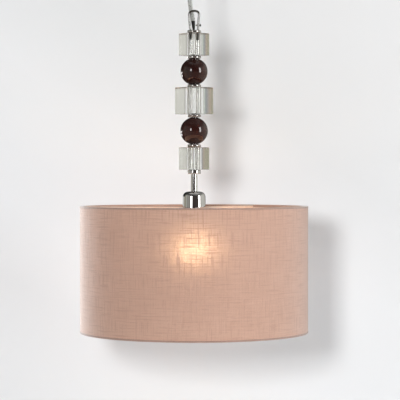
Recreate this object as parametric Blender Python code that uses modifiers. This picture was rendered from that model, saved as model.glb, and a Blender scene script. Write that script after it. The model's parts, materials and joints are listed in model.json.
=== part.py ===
"""Pendant lamp: a drum shade under a column of glass cubes and balls, hung on a clear cord.

Metres, +Z up. The origin is the middle of the face that lies on the ceiling, and the lamp
hangs below it. Run it with: blender --background --python part.py
"""

import math

import bmesh
import bpy
import numpy
from mathutils import Matrix, Vector

# Fits shared by the whole lamp
FIT_GAP = 0.0003
CUT_OVERRUN = 0.002
ROUND_STEPS = 24
SMALL_STEPS = 16
SHADE_STEPS = 40
SHARP_ANGLE = math.radians(38)
WELD_DISTANCE = 0.00001
RIGHT_ANGLE = math.radians(90)

# Ceiling plate and the bridge that carries the cord grip
PLATE_CLEARANCE = 0.0068
PLATE_THICKNESS = 0.002
PLATE_SCREW_HOLE = 0.0045
PLATE_SCREW_MARGIN = 0.010
PLATE_SCREW_TURN = math.radians(45)
CABLE_HOLE = 0.012
CABLE_HOLE_MARGIN = 0.017
BRIDGE_DROP = 0.012
BRIDGE_THICKNESS = 0.002
BRIDGE_WIDTH = 0.026
BRIDGE_SPAN = 0.034
BRIDGE_FOOT = 0.010
RIVET_DIAMETER = 0.0032
RIVET_HEAD = 0.006
RIVET_HEAD_HEIGHT = 0.0015

# Ball joint of the cord grip
SWIVEL_BALL = 0.018
STOP_BALL = 0.0124
STOP_LENGTH = 0.0054
SWIVEL_MOUTH_SHARE = 0.64
SWIVEL_FLARE_SHARE = 0.70
SOCKET_WALL = 0.0024
SOCKET_NECK_RISE = 0.004
LOCKNUT_HEIGHT = 0.003
LOCKNUT_RIM = 0.003
SOCKET_SHOULDER = 0.002
CAP_RIM = 0.004
CAP_LIP = 0.003
SEAT_SHARE = 0.62
MOUTH_SHARE = 0.85

# Canopy over the ceiling plate
CANOPY_DIAMETER = 0.100
CANOPY_DEPTH = 0.0230
CANOPY_WALL = 0.0012
CANOPY_CORNER = 0.008
CANOPY_CEILING_GAP = 0.0005

# Terminal block and leads inside the canopy
BLOCK_LENGTH = 0.026
BLOCK_WIDTH = 0.011
BLOCK_HEIGHT = 0.010
BLOCK_EDGE = 0.0008
BLOCK_BACK_MARGIN = 0.004
BLOCK_SCREW = 0.0035
BLOCK_SCREW_HEAD = 0.0012
LEAD_DIAMETER = 0.0016
LEAD_CIRCLE_SHARE = 0.72
LEAD_START_GAP = 0.0013

# Cord, the sleeve at its lower end, and its route, hand-placed
CORD_DIAMETER = 0.008
CORD_POINT_PITCH = 0.0075
CORD_STUB = 0.0070
SLEEVE_TOP_DIAMETER = 0.0074
SLEEVE_TIP_DIAMETER = 0.0038
SLEEVE_TIP = Vector((-0.00025, 0.00035, -0.1470))
SLEEVE_MOUTH = Vector((-0.00190, 0.00215, -0.1263))
CORD_ROUTE = (
    Vector((0.0, 0.0, -0.0220)),
    Vector((0.0, 0.0, -0.0300)),
    Vector((-0.0007, 0.0006, -0.0375)),
    Vector((-0.0026, 0.0024, -0.0462)),
    Vector((-0.0051, 0.0048, -0.0550)),
    Vector((-0.0073, 0.0071, -0.0641)),
    Vector((-0.0083, 0.0087, -0.0741)),
    Vector((-0.0080, 0.0092, -0.0841)),
    Vector((-0.0071, 0.0090, -0.0951)),
    Vector((-0.0057, 0.0079, -0.1056)),
    Vector((-0.0037, 0.0052, -0.1156)),
)

# Hanging loop with its foot disc, the first of the six bright discs
COLUMN_DROP = 0.1430
LOOP_WIRE = 0.0042
LOOP_TOP_WIDTH = 0.0224
LOOP_FOOT_WIDTH = 0.0180
LOOP_HEIGHT = 0.0375
LOOP_ARCH_HEIGHT = 0.0094
LOOP_SINK = 0.0010
LOOP_ARCH_STEPS = 10
DISC_DIAMETER = 0.0260
DISC_THICKNESS = 0.0055
DISC_EDGE_STEPS = 4
CLAMP_SCREW = 0.0024
CLAMP_SCREW_LENGTH = 0.0080
CLAMP_BOSS = 0.0052
CLAMP_HEIGHT = 0.0090

# Threaded nipples and the tube that the glass is strung on
NIPPLE_DIAMETER = 0.0098
NIPPLE_WALL = 0.0012
NIPPLE_EXPOSED = 0.0130
NIPPLE_GRIP = 0.0160
NIPPLE_RECESS = 0.0016
TUBE_WALL = 0.0008
TUBE_EXPOSED = 0.0316

# Glass
SMALL_CUBE_WIDTH = 0.0400
SMALL_CUBE_HEIGHT = 0.0410
LARGE_CUBE_WIDTH = 0.0500
LARGE_CUBE_HEIGHT = 0.0494
CUBE_EDGE = 0.0006
CUBE_TURN = math.radians(45)
LOWEST_CUBE_TURN = math.radians(43)
UPPER_BALL_DIAMETER = 0.0500
UPPER_BALL_FLAT = 0.0196
LOWER_BALL_DIAMETER = 0.0508
LOWER_BALL_FLAT = 0.0138
BALL_STEPS = 10
COLLAR_DIAMETER = 0.0248
COLLAR_THICKNESS = 0.0075

# Lampholder for an E27 bulb
CUP_DIAMETER = 0.0430
CUP_HEIGHT = 0.0302
CUP_WALL = 0.0010
CUP_SHOULDER = 0.0110
CUP_SHOULDER_STEPS = 4
LOCK_WASHER_DIAMETER = 0.0180
LOCK_WASHER_THICKNESS = 0.0010
NUT_ACROSS_FLATS = 0.0150
NUT_HEIGHT = 0.0045
CUP_NIPPLE_REACH = 0.0130
CUP_NIPPLE_GRIP = 0.0180
SKIRT_OVERLAP = 0.0080
SKIRT_LENGTH = 0.0270
SKIRT_WALL = 0.0024
SKIRT_THREAD_DEPTH = 0.0008
SKIRT_THREAD_PITCH = 0.0025
SKIRT_THREAD_TURNS = 5
SKIRT_PLAIN = 0.0050
INSERT_FLANGE = 0.0030
INSERT_WALL = 0.0022
INSERT_FLOOR = 0.0105
TERMINAL_WIDTH = 0.0060
TERMINAL_DEPTH = 0.0045
TERMINAL_HEIGHT = 0.0036
TERMINAL_SCREW = 0.0032
TERMINAL_SCREW_HEAD = 0.0012
TERMINAL_CIRCLE = 0.0220
SHELL_WALL = 0.0006
SHELL_LENGTH = 0.0190
TONGUE_THICKNESS = 0.0006
TONGUE_WIDTH = 0.0050
TONGUE_DROP = 0.0030

# Shade and its frame
SHADE_DIAMETER = 0.4200
SHADE_HEIGHT = 0.2320
FABRIC_THICKNESS = 0.0013
LINER_THICKNESS = 0.0010
HEM_DEPTH = 0.0045
HEM_WEB = 0.0010
HEM_TAIL = 0.0055
RING_WIRE = 0.0040
ARM_WIRE = 0.0037
ARM_SINK = 0.0060
ARM_BEARINGS = (math.radians(34), math.radians(154), math.radians(274))
FITTER_DEPTH = 0.0031
FITTER_RIM = 0.0080
FITTER_THICKNESS = 0.0020
SKIRT_CLEARANCE = 0.0004
NOTCH_CLEARANCE = 0.0006
CLAMP_RING_HEIGHT = 0.0090
CLAMP_FLANGE_HEIGHT = 0.0025
CLAMP_FLANGE_RIM = 0.0065
CLAMP_BODY_RIM = 0.0040

# Bulb
BULB_DIAMETER = 0.0600
BULB_LENGTH = 0.1060
BULB_WALL = 0.0009
BULB_NECK_DIAMETER = 0.0230
BULB_CAP_DIAMETER = 0.0262
BULB_CAP_WALL = 0.0005
BULB_CAP_LENGTH = 0.0240
BULB_THREAD_DEPTH = 0.0008
BULB_THREAD_PITCH = 0.00362
BULB_THREAD_TURNS = 4
BULB_THREAD_START = 0.0030
BULB_TIP_DIAMETER = 0.0090
BULB_TIP_HEIGHT = 0.0014
INSULATOR_HEIGHT = 0.0022
NECK_SINK = 0.0060
STEM_FLARE = 0.0180
STEM_ROD = 0.0060
STEM_LENGTH = 0.0360
STEM_FLARE_HEIGHT = 0.0020
FILAMENT_WIRE = 0.0010
FILAMENT_SPREAD = 0.0240
FILAMENT_REACH = 0.0140
GLOBE_STEPS = 7

# Diameters that follow from the sizes above
TUBE_DIAMETER = NIPPLE_DIAMETER + 2 * (FIT_GAP + TUBE_WALL)
BEAD_BORE = TUBE_DIAMETER + 2 * FIT_GAP
NIPPLE_HOLE = NIPPLE_DIAMETER + 2 * FIT_GAP
NIPPLE_BORE = NIPPLE_DIAMETER - 2 * NIPPLE_WALL
STOP_BORE = CORD_DIAMETER + 2 * FIT_GAP
STOP_SEAT = STOP_BALL / 2 + FIT_GAP
SWIVEL_MOUTH = SWIVEL_BALL / 2 * SWIVEL_MOUTH_SHARE
SEAT_RADIUS = SWIVEL_BALL / 2 + FIT_GAP
NECK_BORE = 2 * SEAT_RADIUS * math.cos(math.asin(SEAT_SHARE))
NECK_DIAMETER = NECK_BORE + 2 * SOCKET_WALL
SPIGOT_DIAMETER = 2 * SEAT_RADIUS + SOCKET_WALL
BRIDGE_HOLE = NECK_DIAMETER + 2 * FIT_GAP
CANOPY_HOLE = SPIGOT_DIAMETER + 2 * FIT_GAP
PLATE_DIAMETER = CANOPY_DIAMETER - 2 * (CANOPY_WALL + PLATE_CLEARANCE)
PLATE_SCREW_SPACING = PLATE_DIAMETER - 2 * PLATE_SCREW_MARGIN
CABLE_HOLE_OFFSET = PLATE_DIAMETER / 2 - CABLE_HOLE_MARGIN
CUP_BORE = CUP_DIAMETER - 2 * CUP_WALL
COLLAR_OF_SKIRT = CUP_BORE - 2 * FIT_GAP
SKIRT_THREAD = COLLAR_OF_SKIRT - FIT_GAP
SKIRT_BORE = SKIRT_THREAD - 2 * (SKIRT_THREAD_DEPTH + SKIRT_WALL)
INSERT_DIAMETER = SKIRT_BORE - 2 * FIT_GAP
RECESS_DIAMETER = INSERT_DIAMETER - 2 * INSERT_WALL
SHELL_DIAMETER = RECESS_DIAMETER - 2 * FIT_GAP
FITTER_HOLE = SKIRT_THREAD + 2 * SKIRT_CLEARANCE
LINER_DIAMETER = SHADE_DIAMETER - 2 * (FABRIC_THICKNESS + FIT_GAP)
RING_OUTER = LINER_DIAMETER - 2 * (LINER_THICKNESS + FIT_GAP)
RING_CENTRE_RADIUS = (RING_OUTER - RING_WIRE) / 2
HEM_INNER = RING_OUTER - 2 * (RING_WIRE + FIT_GAP + HEM_WEB)

# Heights, from the ceiling down
BRIDGE_TOP = -BRIDGE_DROP
BRIDGE_BOTTOM = BRIDGE_TOP - BRIDGE_THICKNESS
SEAT_DEPTH = SEAT_RADIUS * SEAT_SHARE
SWIVEL_CENTRE = BRIDGE_BOTTOM - FIT_GAP - SOCKET_SHOULDER - SEAT_DEPTH
CANOPY_TOP = -CANOPY_CEILING_GAP
CANOPY_BOTTOM = CANOPY_TOP - CANOPY_DEPTH
CORD_TOP = SWIVEL_CENTRE + CORD_STUB
COLUMN_TOP = -COLUMN_DROP
FIRST_CUBE_TOP = COLUMN_TOP - DISC_THICKNESS - FIT_GAP
DISC_STEP = DISC_THICKNESS + FIT_GAP


def ball_height(diameter, flat):
    """Height of a glass ball between its two ground flats."""
    return math.sqrt(diameter**2 - flat**2)


UPPER_BALL_TOP = FIRST_CUBE_TOP - SMALL_CUBE_HEIGHT - FIT_GAP - DISC_STEP
UPPER_BALL_BOTTOM = UPPER_BALL_TOP - ball_height(UPPER_BALL_DIAMETER, UPPER_BALL_FLAT)
SECOND_CUBE_TOP = UPPER_BALL_BOTTOM - FIT_GAP - DISC_STEP
LOWER_BALL_TOP = SECOND_CUBE_TOP - LARGE_CUBE_HEIGHT - FIT_GAP - DISC_STEP
LOWER_BALL_BOTTOM = LOWER_BALL_TOP - ball_height(LOWER_BALL_DIAMETER, LOWER_BALL_FLAT)
THIRD_CUBE_TOP = LOWER_BALL_BOTTOM - FIT_GAP - DISC_STEP
COLLAR_TOP = THIRD_CUBE_TOP - SMALL_CUBE_HEIGHT - FIT_GAP
TUBE_TOP = COLUMN_TOP - DISC_THICKNESS - NIPPLE_EXPOSED
CUP_TOP = COLLAR_TOP - COLLAR_THICKNESS - TUBE_EXPOSED
CUP_BOTTOM = CUP_TOP - CUP_HEIGHT
SKIRT_TOP = CUP_BOTTOM + SKIRT_OVERLAP
SKIRT_BOTTOM = CUP_BOTTOM - SKIRT_LENGTH
INSERT_TOP = SKIRT_TOP + FIT_GAP + INSERT_FLANGE
RECESS_TOP = INSERT_TOP - INSERT_FLOOR
FITTER_TOP = CUP_BOTTOM - FIT_GAP
SHADE_TOP = FITTER_TOP + FITTER_DEPTH
SHADE_BOTTOM = SHADE_TOP - SHADE_HEIGHT
RING_DROP = HEM_WEB + FIT_GAP + RING_WIRE / 2
CLAMP_TOP = FITTER_TOP - FITTER_THICKNESS - FIT_GAP
BULB_TOP = RECESS_TOP - FIT_GAP - TONGUE_DROP - FIT_GAP
BULB_BOTTOM = BULB_TOP - BULB_LENGTH
INSULATOR_TOP = BULB_TOP - BULB_TIP_HEIGHT
BULB_CAP_TOP = INSULATOR_TOP - INSULATOR_HEIGHT
BULB_CAP_BOTTOM = BULB_CAP_TOP - BULB_CAP_LENGTH


def start_scene():
    """Empties the scene and makes one collection for the lamp and one for its cutters."""
    for old in list(bpy.data.objects):
        bpy.data.objects.remove(old, do_unlink=True)
    found = []
    for name in ("pendant_lamp", "cutters"):
        collection = bpy.data.collections.new(name)
        bpy.context.scene.collection.children.link(collection)
        found.append(collection)
    return found


LAMP, CUTTERS = start_scene()


def finish(name, colour, roughness, metallic=0.0, transmission=0.0):
    """A Principled material of one colour."""
    made = bpy.data.materials.new(name)
    made.use_nodes = True
    shader = made.node_tree.nodes["Principled BSDF"]
    shader.inputs["Base Color"].default_value = (*colour, 1.0)
    shader.inputs["Roughness"].default_value = roughness
    shader.inputs["Metallic"].default_value = metallic
    shader.inputs["Transmission Weight"].default_value = transmission
    return made


CHROME = finish("polished_chrome", (0.82, 0.82, 0.82), 0.06, metallic=1.0)
STEEL = finish("zinc_steel", (0.55, 0.55, 0.53), 0.35, metallic=1.0)
DARK_STEEL = finish("black_steel", (0.05, 0.05, 0.05), 0.40, metallic=1.0)
BRASS = finish("brass", (0.72, 0.52, 0.24), 0.28, metallic=1.0)
CLEAR_GLASS = finish("clear_glass", (0.95, 0.96, 0.94), 0.02, transmission=1.0)
BROWN_GLASS = finish("brown_glass", (0.07, 0.02, 0.014), 0.02, transmission=0.9)
OPAL_GLASS = finish("opal_glass", (0.94, 0.92, 0.86), 0.25)
CLEAR_PLASTIC = finish("clear_plastic", (0.80, 0.81, 0.78), 0.15, transmission=0.8)
BLACK_PLASTIC = finish("black_plastic", (0.015, 0.015, 0.015), 0.45)
WHITE_PLASTIC = finish("white_plastic", (0.80, 0.80, 0.78), 0.40)
RUBBER = finish("grey_rubber", (0.30, 0.30, 0.30), 0.60)
CERAMIC = finish("ceramic", (0.85, 0.83, 0.78), 0.30)
LINEN = finish("pink_beige_linen", (0.66, 0.42, 0.32), 0.90)
LINER = finish("shade_liner", (0.80, 0.66, 0.56), 0.60)
LEAD_COVER = finish("lead_cover", (0.30, 0.12, 0.06), 0.45)


def link(obj, material=None, cutter=False):
    """Puts an object in its collection. A cutter is hidden from the render."""
    (CUTTERS if cutter else LAMP).objects.link(obj)
    if cutter:
        obj.hide_render = True
        obj.display_type = "WIRE"
    if material is not None:
        obj.data.materials.append(material)
    return obj


def baked(obj, weld=False):
    """The object with its modifiers applied, round faces smooth and real edges sharp."""
    graph = bpy.context.evaluated_depsgraph_get()
    mesh = bpy.data.meshes.new_from_object(obj.evaluated_get(graph))
    mesh.name = obj.name
    if weld:
        work = bmesh.new()
        work.from_mesh(mesh)
        bmesh.ops.remove_doubles(work, verts=work.verts, dist=WELD_DISTANCE)
        work.to_mesh(mesh)
        work.free()
    mesh.shade_smooth()
    mesh.set_sharp_from_angle(angle=SHARP_ANGLE)
    if obj.type == "MESH":
        obj.modifiers.clear()
        obj.data = mesh
        return obj
    name, place = obj.name, obj.matrix_world.copy()
    collections = list(obj.users_collection)
    bpy.data.objects.remove(obj, do_unlink=True)
    made = bpy.data.objects.new(name, mesh)
    made.matrix_world = place
    for collection in collections:
        collection.objects.link(made)
    return made


def turned(name, outline, level, material=None, steps=ROUND_STEPS, centre=(0.0, 0.0), cutter=False):
    """A turned piece. The outline's (radius, height) points run down its outer side first."""
    points = [(radius, 0.0, height) for radius, height in outline]
    edges = [(i, i + 1) for i in range(len(points) - 1)]
    if outline[0][0] > 0 or outline[-1][0] > 0:
        edges.append((len(points) - 1, 0))
    mesh = bpy.data.meshes.new(name)
    mesh.from_pydata(points, edges, [])
    obj = link(bpy.data.objects.new(name, mesh), material, cutter)
    obj.location = (*centre, level)
    screw = obj.modifiers.new("turn", "SCREW")
    screw.steps = steps
    screw.render_steps = steps
    screw.use_merge_vertices = True
    screw.merge_threshold = WELD_DISTANCE
    return baked(obj)


def rod(name, diameter, height, level, material=None, steps=SMALL_STEPS, centre=(0.0, 0.0), cutter=False):
    """A solid cylinder that hangs down from a level."""
    radius = diameter / 2
    outline = [(0.0, 0.0), (radius, 0.0), (radius, -height), (0.0, -height)]
    return turned(name, outline, level, material, steps, centre, cutter)


def tube_outline(outer, bore, height):
    """Outline of a plain ring or tube with its top at height zero."""
    return [(outer / 2, 0.0), (outer / 2, -height), (bore / 2, -height), (bore / 2, 0.0)]


def arc(centre, radius, start, end, steps):
    """Points on an arc in the (radius, height) plane, from one angle to another."""
    angles = [start + (end - start) * i / steps for i in range(steps + 1)]
    return [(centre[0] + radius * math.cos(a), centre[1] + radius * math.sin(a)) for a in angles]


def circle(diameter, centre=(0.0, 0.0), steps=SMALL_STEPS, turn=0.0):
    """Points of a circle in plan."""
    angles = [turn + 2 * math.pi * i / steps for i in range(steps)]
    radius = diameter / 2
    return [(centre[0] + radius * math.cos(a), centre[1] + radius * math.sin(a)) for a in angles]


def sheet(name, outlines, thickness, level, material):
    """A flat piece with square edges: the first outline is its rim, the others its holes."""
    curve = bpy.data.curves.new(name, "CURVE")
    curve.dimensions = "2D"
    curve.fill_mode = "BOTH"
    curve.extrude = thickness / 2
    for outline in outlines:
        spline = curve.splines.new("POLY")
        spline.points.add(len(outline) - 1)
        for point, (x, y) in zip(spline.points, outline):
            point.co = (x, y, 0.0, 1.0)
        spline.use_cyclic_u = True
    obj = link(bpy.data.objects.new(name, curve), material)
    obj.location = (0.0, 0.0, level - thickness / 2)
    return obj


def wire(name, points, diameter, material, resolution=2, taper=None):
    """A round wire or tube along points, with closed ends and an optional taper."""
    curve = bpy.data.curves.new(name, "CURVE")
    curve.dimensions = "3D"
    curve.bevel_depth = diameter / 2
    curve.bevel_resolution = resolution
    curve.use_fill_caps = True
    spline = curve.splines.new("POLY")
    spline.points.add(len(points) - 1)
    for index, place in enumerate(points):
        spline.points[index].co = (*place, 1.0)
        if taper is not None:
            spline.points[index].radius = taper[index]
    return link(bpy.data.objects.new(name, curve), material)


def block(name, size, centre, material=None, edge=0.0, turn=0.0, cutter=False):
    """A box with rounded edges, turned about the vertical."""
    mesh = bpy.data.meshes.new(name)
    work = bmesh.new()
    bmesh.ops.create_cube(work, size=1.0, matrix=Matrix.Diagonal((*size, 1.0)))
    work.to_mesh(mesh)
    work.free()
    obj = link(bpy.data.objects.new(name, mesh), material, cutter)
    obj.location = centre
    obj.rotation_euler.z = turn
    if edge > 0:
        bevel = obj.modifiers.new("edge", "BEVEL")
        bevel.width = edge
        bevel.segments = 1
    return obj


def combine(obj, others, operation):
    """Cuts or joins other objects, which are cutters or helpers, and applies the result."""
    for other in others:
        step = obj.modifiers.new(operation.lower(), "BOOLEAN")
        step.operation = operation
        step.solver = "EXACT"
        step.object = other
    bpy.context.view_layer.update()
    made = baked(obj)
    if operation == "UNION":
        for other in others:
            bpy.data.objects.remove(other, do_unlink=True)
    return made


def pivot(name, place, parent=None):
    """An empty on a joint's axis, for what moves about it."""
    empty = bpy.data.objects.new(name, None)
    LAMP.objects.link(empty)
    empty.location = place
    if parent is not None:
        attach(parent, [empty])
    return empty


def attach(parent, children):
    """Parents objects to another one and leaves them where they are."""
    bpy.context.view_layer.update()
    for child in children:
        child.parent = parent
        child.matrix_parent_inverse = parent.matrix_world.inverted()


def smooth_path(route, pitch):
    """Points about one pitch apart on the natural cubic spline through the route's points."""
    knots = numpy.array([tuple(p) for p in route])
    gaps = numpy.linalg.norm(numpy.diff(knots, axis=0), axis=1)
    along = numpy.concatenate(([0.0], numpy.cumsum(gaps)))
    count = len(knots)
    matrix = numpy.eye(count)
    right = numpy.zeros((count, knots.shape[1]))
    for i in range(1, count - 1):
        before, after = along[i] - along[i - 1], along[i + 1] - along[i]
        matrix[i, i - 1 : i + 2] = before, 2 * (before + after), after
        right[i] = 6 * ((knots[i + 1] - knots[i]) / after - (knots[i] - knots[i - 1]) / before)
    bend = numpy.linalg.solve(matrix, right)
    found = []
    for station in numpy.linspace(0.0, along[-1], int(round(along[-1] / pitch)) + 1):
        i = min(int(numpy.searchsorted(along, station, side="right")) - 1, count - 2)
        step, left = along[i + 1] - along[i], station - along[i]
        rest = step - left
        curved = (bend[i] * rest**3 + bend[i + 1] * left**3) / (6 * step)
        straight = (knots[i] / step - bend[i] * step / 6) * rest
        straight += (knots[i + 1] / step - bend[i + 1] * step / 6) * left
        found.append(Vector(curved + straight))
    return found


def make_ceiling_plate():
    """Round steel plate with two fixing holes and a hole for the house cable."""
    bearings = (PLATE_SCREW_TURN, PLATE_SCREW_TURN + math.pi)
    reach = PLATE_SCREW_SPACING / 2
    holes = [
        circle(PLATE_SCREW_HOLE, (reach * math.cos(b), reach * math.sin(b)), steps=12)
        for b in bearings
    ]
    holes.append(circle(CABLE_HOLE, (0.0, CABLE_HOLE_OFFSET), steps=16))
    rivet_reach = BRIDGE_SPAN / 2 + BRIDGE_FOOT / 2
    for side in (-1, 1):
        holes.append(circle(RIVET_DIAMETER + 2 * FIT_GAP, (side * rivet_reach, 0.0), steps=12))
    rim = circle(PLATE_DIAMETER, steps=32)
    return sheet("ceiling_plate", [rim, *holes], PLATE_THICKNESS, 0.0, STEEL)


def make_bridge():
    """Bent strap under the plate, with feet against it and a hole for the grip's neck."""
    half, thick = BRIDGE_SPAN / 2, BRIDGE_THICKNESS
    foot_top = -PLATE_THICKNESS - FIT_GAP
    outline = [
        (half + BRIDGE_FOOT, foot_top),
        (half, foot_top),
        (half, BRIDGE_TOP),
        (-half, BRIDGE_TOP),
        (-half, foot_top),
        (-half - BRIDGE_FOOT, foot_top),
        (-half - BRIDGE_FOOT, foot_top - thick),
        (-half - thick, foot_top - thick),
        (-half - thick, BRIDGE_BOTTOM),
        (half + thick, BRIDGE_BOTTOM),
        (half + thick, foot_top - thick),
        (half + BRIDGE_FOOT, foot_top - thick),
    ]
    strap = sheet("hanger_bridge", [outline], BRIDGE_WIDTH, 0.0, STEEL)
    strap.location = (0.0, 0.0, 0.0)
    strap.rotation_euler.x = RIGHT_ANGLE
    bpy.context.view_layer.update()
    strap = baked(strap, weld=True)
    rivet_reach = half + BRIDGE_FOOT / 2
    deep = thick + 2 * CUT_OVERRUN
    cuts = [rod("neck_cut", BRIDGE_HOLE, deep, BRIDGE_TOP + CUT_OVERRUN, steps=ROUND_STEPS, cutter=True)]
    for side in (-1, 1):
        cuts.append(
            rod(
                "rivet_cut",
                RIVET_DIAMETER + 2 * FIT_GAP,
                deep,
                foot_top + CUT_OVERRUN,
                steps=12,
                centre=(side * rivet_reach, 0.0),
                cutter=True,
            )
        )
    return combine(strap, cuts, "DIFFERENCE")


def make_rivets():
    """Two rivets that hold the bridge's feet to the plate, flush with the ceiling face."""
    under = -PLATE_THICKNESS - 2 * FIT_GAP - BRIDGE_THICKNESS
    for name, side in (("bridge_rivet_left", -1), ("bridge_rivet_right", 1)):
        outline = [
            (0.0, -FIT_GAP),
            (RIVET_DIAMETER / 2, -FIT_GAP),
            (RIVET_DIAMETER / 2, under),
            (RIVET_HEAD / 2, under),
            (RIVET_HEAD / 2 - RIVET_HEAD_HEIGHT / 2, under - RIVET_HEAD_HEIGHT),
            (0.0, under - RIVET_HEAD_HEIGHT),
        ]
        reach = side * (BRIDGE_SPAN / 2 + BRIDGE_FOOT / 2)
        turned(name, outline, 0.0, STEEL, steps=12, centre=(reach, 0.0))


def make_grip():
    """Socket through the bridge, its locknut, the ball, the cord's round stop and the cap."""
    seat = SEAT_RADIUS
    upper = arc((0.0, 0.0), seat, 0.0, math.asin(SEAT_SHARE), 3)
    neck_top = BRIDGE_TOP + SOCKET_NECK_RISE - SWIVEL_CENTRE
    shoulder_top = BRIDGE_BOTTOM - FIT_GAP - SWIVEL_CENTRE
    shoulder_bottom = CANOPY_BOTTOM + CANOPY_WALL + FIT_GAP - SWIVEL_CENTRE
    spigot_bottom = CANOPY_BOTTOM - FIT_GAP - CAP_LIP - SWIVEL_CENTRE
    shoulder = SPIGOT_DIAMETER / 2 + SOCKET_SHOULDER
    socket_outline = [
        (NECK_DIAMETER / 2, neck_top),
        (NECK_DIAMETER / 2, shoulder_top),
        (shoulder, shoulder_top),
        (shoulder, shoulder_bottom),
        (SPIGOT_DIAMETER / 2, shoulder_bottom),
        (SPIGOT_DIAMETER / 2, spigot_bottom),
        (seat, spigot_bottom),
        *upper,
        (NECK_BORE / 2, neck_top),
    ]
    turned("grip_socket", socket_outline, SWIVEL_CENTRE, CHROME, steps=20)

    locknut_rim = NECK_DIAMETER + 2 * FIT_GAP + 2 * LOCKNUT_RIM
    sheet(
        "grip_locknut",
        [circle(locknut_rim, steps=6), circle(BRIDGE_HOLE, steps=SMALL_STEPS)],
        LOCKNUT_HEIGHT,
        BRIDGE_TOP + FIT_GAP + LOCKNUT_HEIGHT,
        STEEL,
    )

    tilt = math.acos(SWIVEL_FLARE_SHARE)
    inner_tilt = math.acos(SWIVEL_MOUTH / STOP_SEAT)
    ball_outline = arc((0.0, 0.0), SWIVEL_BALL / 2, tilt, -tilt, 6)
    ball_outline += arc((0.0, 0.0), STOP_SEAT, -inner_tilt, inner_tilt, 4)
    turned("swivel_ball", ball_outline, SWIVEL_CENTRE, RUBBER, SMALL_STEPS)

    end_tilt = math.asin(STOP_LENGTH / STOP_BALL)
    stop_outline = arc((0.0, 0.0), STOP_BALL / 2, end_tilt, -end_tilt, 4)
    stop_outline += [(STOP_BORE / 2, -STOP_LENGTH / 2), (STOP_BORE / 2, STOP_LENGTH / 2)]
    turned("cord_stop", stop_outline, SWIVEL_CENTRE, BRASS, SMALL_STEPS)

    cap_top = CANOPY_BOTTOM - FIT_GAP - SWIVEL_CENTRE
    lip_top = spigot_bottom - FIT_GAP
    lip_radius = math.sqrt(seat**2 - lip_top**2)
    cap_bottom = lip_top - CAP_LIP
    cap_outer = CANOPY_HOLE / 2 + CAP_RIM
    cap_outline = [
        (cap_outer, cap_top),
        (cap_outer, cap_bottom + CAP_LIP),
        (cap_outer - CAP_LIP, cap_bottom),
        (seat * MOUTH_SHARE + FIT_GAP, cap_bottom),
        (lip_radius + FIT_GAP, lip_top),
        (CANOPY_HOLE / 2, lip_top),
        (CANOPY_HOLE / 2, cap_top),
    ]
    turned("grip_cap", cap_outline, SWIVEL_CENTRE, CHROME)


def make_canopy():
    """Shallow spun cup that hides the plate, clamped between socket and cap."""
    outer, wall, corner = CANOPY_DIAMETER / 2, CANOPY_WALL, CANOPY_CORNER
    outside = arc((outer - corner, corner - CANOPY_DEPTH), corner, 0.0, -RIGHT_ANGLE, 3)
    inside = arc((outer - corner, corner - CANOPY_DEPTH), corner - wall, -RIGHT_ANGLE, 0.0, 3)
    outline = [
        (outer, 0.0),
        *outside,
        (CANOPY_HOLE / 2, -CANOPY_DEPTH),
        (CANOPY_HOLE / 2, -CANOPY_DEPTH + wall),
        *inside,
        (outer - wall, 0.0),
    ]
    return turned("ceiling_canopy", outline, CANOPY_TOP, CHROME, steps=28)


def make_terminal_block():
    """Plastic terminal block on the plate, its three screws, and the leads to the cord."""
    top = -PLATE_THICKNESS - FIT_GAP
    back = -BRIDGE_WIDTH / 2 - BLOCK_BACK_MARGIN
    centre = (0.0, back - BLOCK_WIDTH / 2, top - BLOCK_HEIGHT / 2)
    block("terminal_block", (BLOCK_LENGTH, BLOCK_WIDTH, BLOCK_HEIGHT), centre, WHITE_PLASTIC, BLOCK_EDGE)
    spacing = BLOCK_LENGTH / 3
    for index in range(3):
        place = ((index - 1) * spacing, centre[1])
        head = top - BLOCK_HEIGHT - FIT_GAP
        rod(f"terminal_screw_{index + 1}", BLOCK_SCREW, BLOCK_SCREW_HEAD, head, BRASS, 12, place)
    start = CORD_TOP + LEAD_START_GAP
    neck_top = BRIDGE_TOP + SOCKET_NECK_RISE
    crest = (neck_top - PLATE_THICKNESS) / 2
    entry = top - BLOCK_HEIGHT / 2
    for index, across in enumerate((0, 1, -1)):
        x, y = lead_place(index)
        points = [
            (x, y, start),
            (x, y, (start + neck_top) / 2),
            (x, y - LEAD_DIAMETER / 2, neck_top),
            (x, y - 2 * LEAD_DIAMETER, crest - LEAD_DIAMETER / 3),
            ((2 * x + across * spacing) / 3, -NECK_DIAMETER / 3, crest),
            ((x + across * spacing) / 2, -NECK_DIAMETER / 2, crest),
            (across * spacing, back + BLOCK_BACK_MARGIN / 2 + LEAD_DIAMETER, crest - LEAD_DIAMETER),
            (across * spacing, back + LEAD_DIAMETER, entry),
            (across * spacing, back + FIT_GAP, entry),
        ]
        wire(f"canopy_lead_{index + 1}", points, LEAD_DIAMETER, LEAD_COVER, resolution=1)


def lead_place(index):
    """Place of one of the three leads in a bore, seen in plan."""
    bearing = index * 2 * math.pi / 3 - RIGHT_ANGLE
    reach = LEAD_DIAMETER * LEAD_CIRCLE_SHARE
    return reach * math.cos(bearing), reach * math.sin(bearing)


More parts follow.
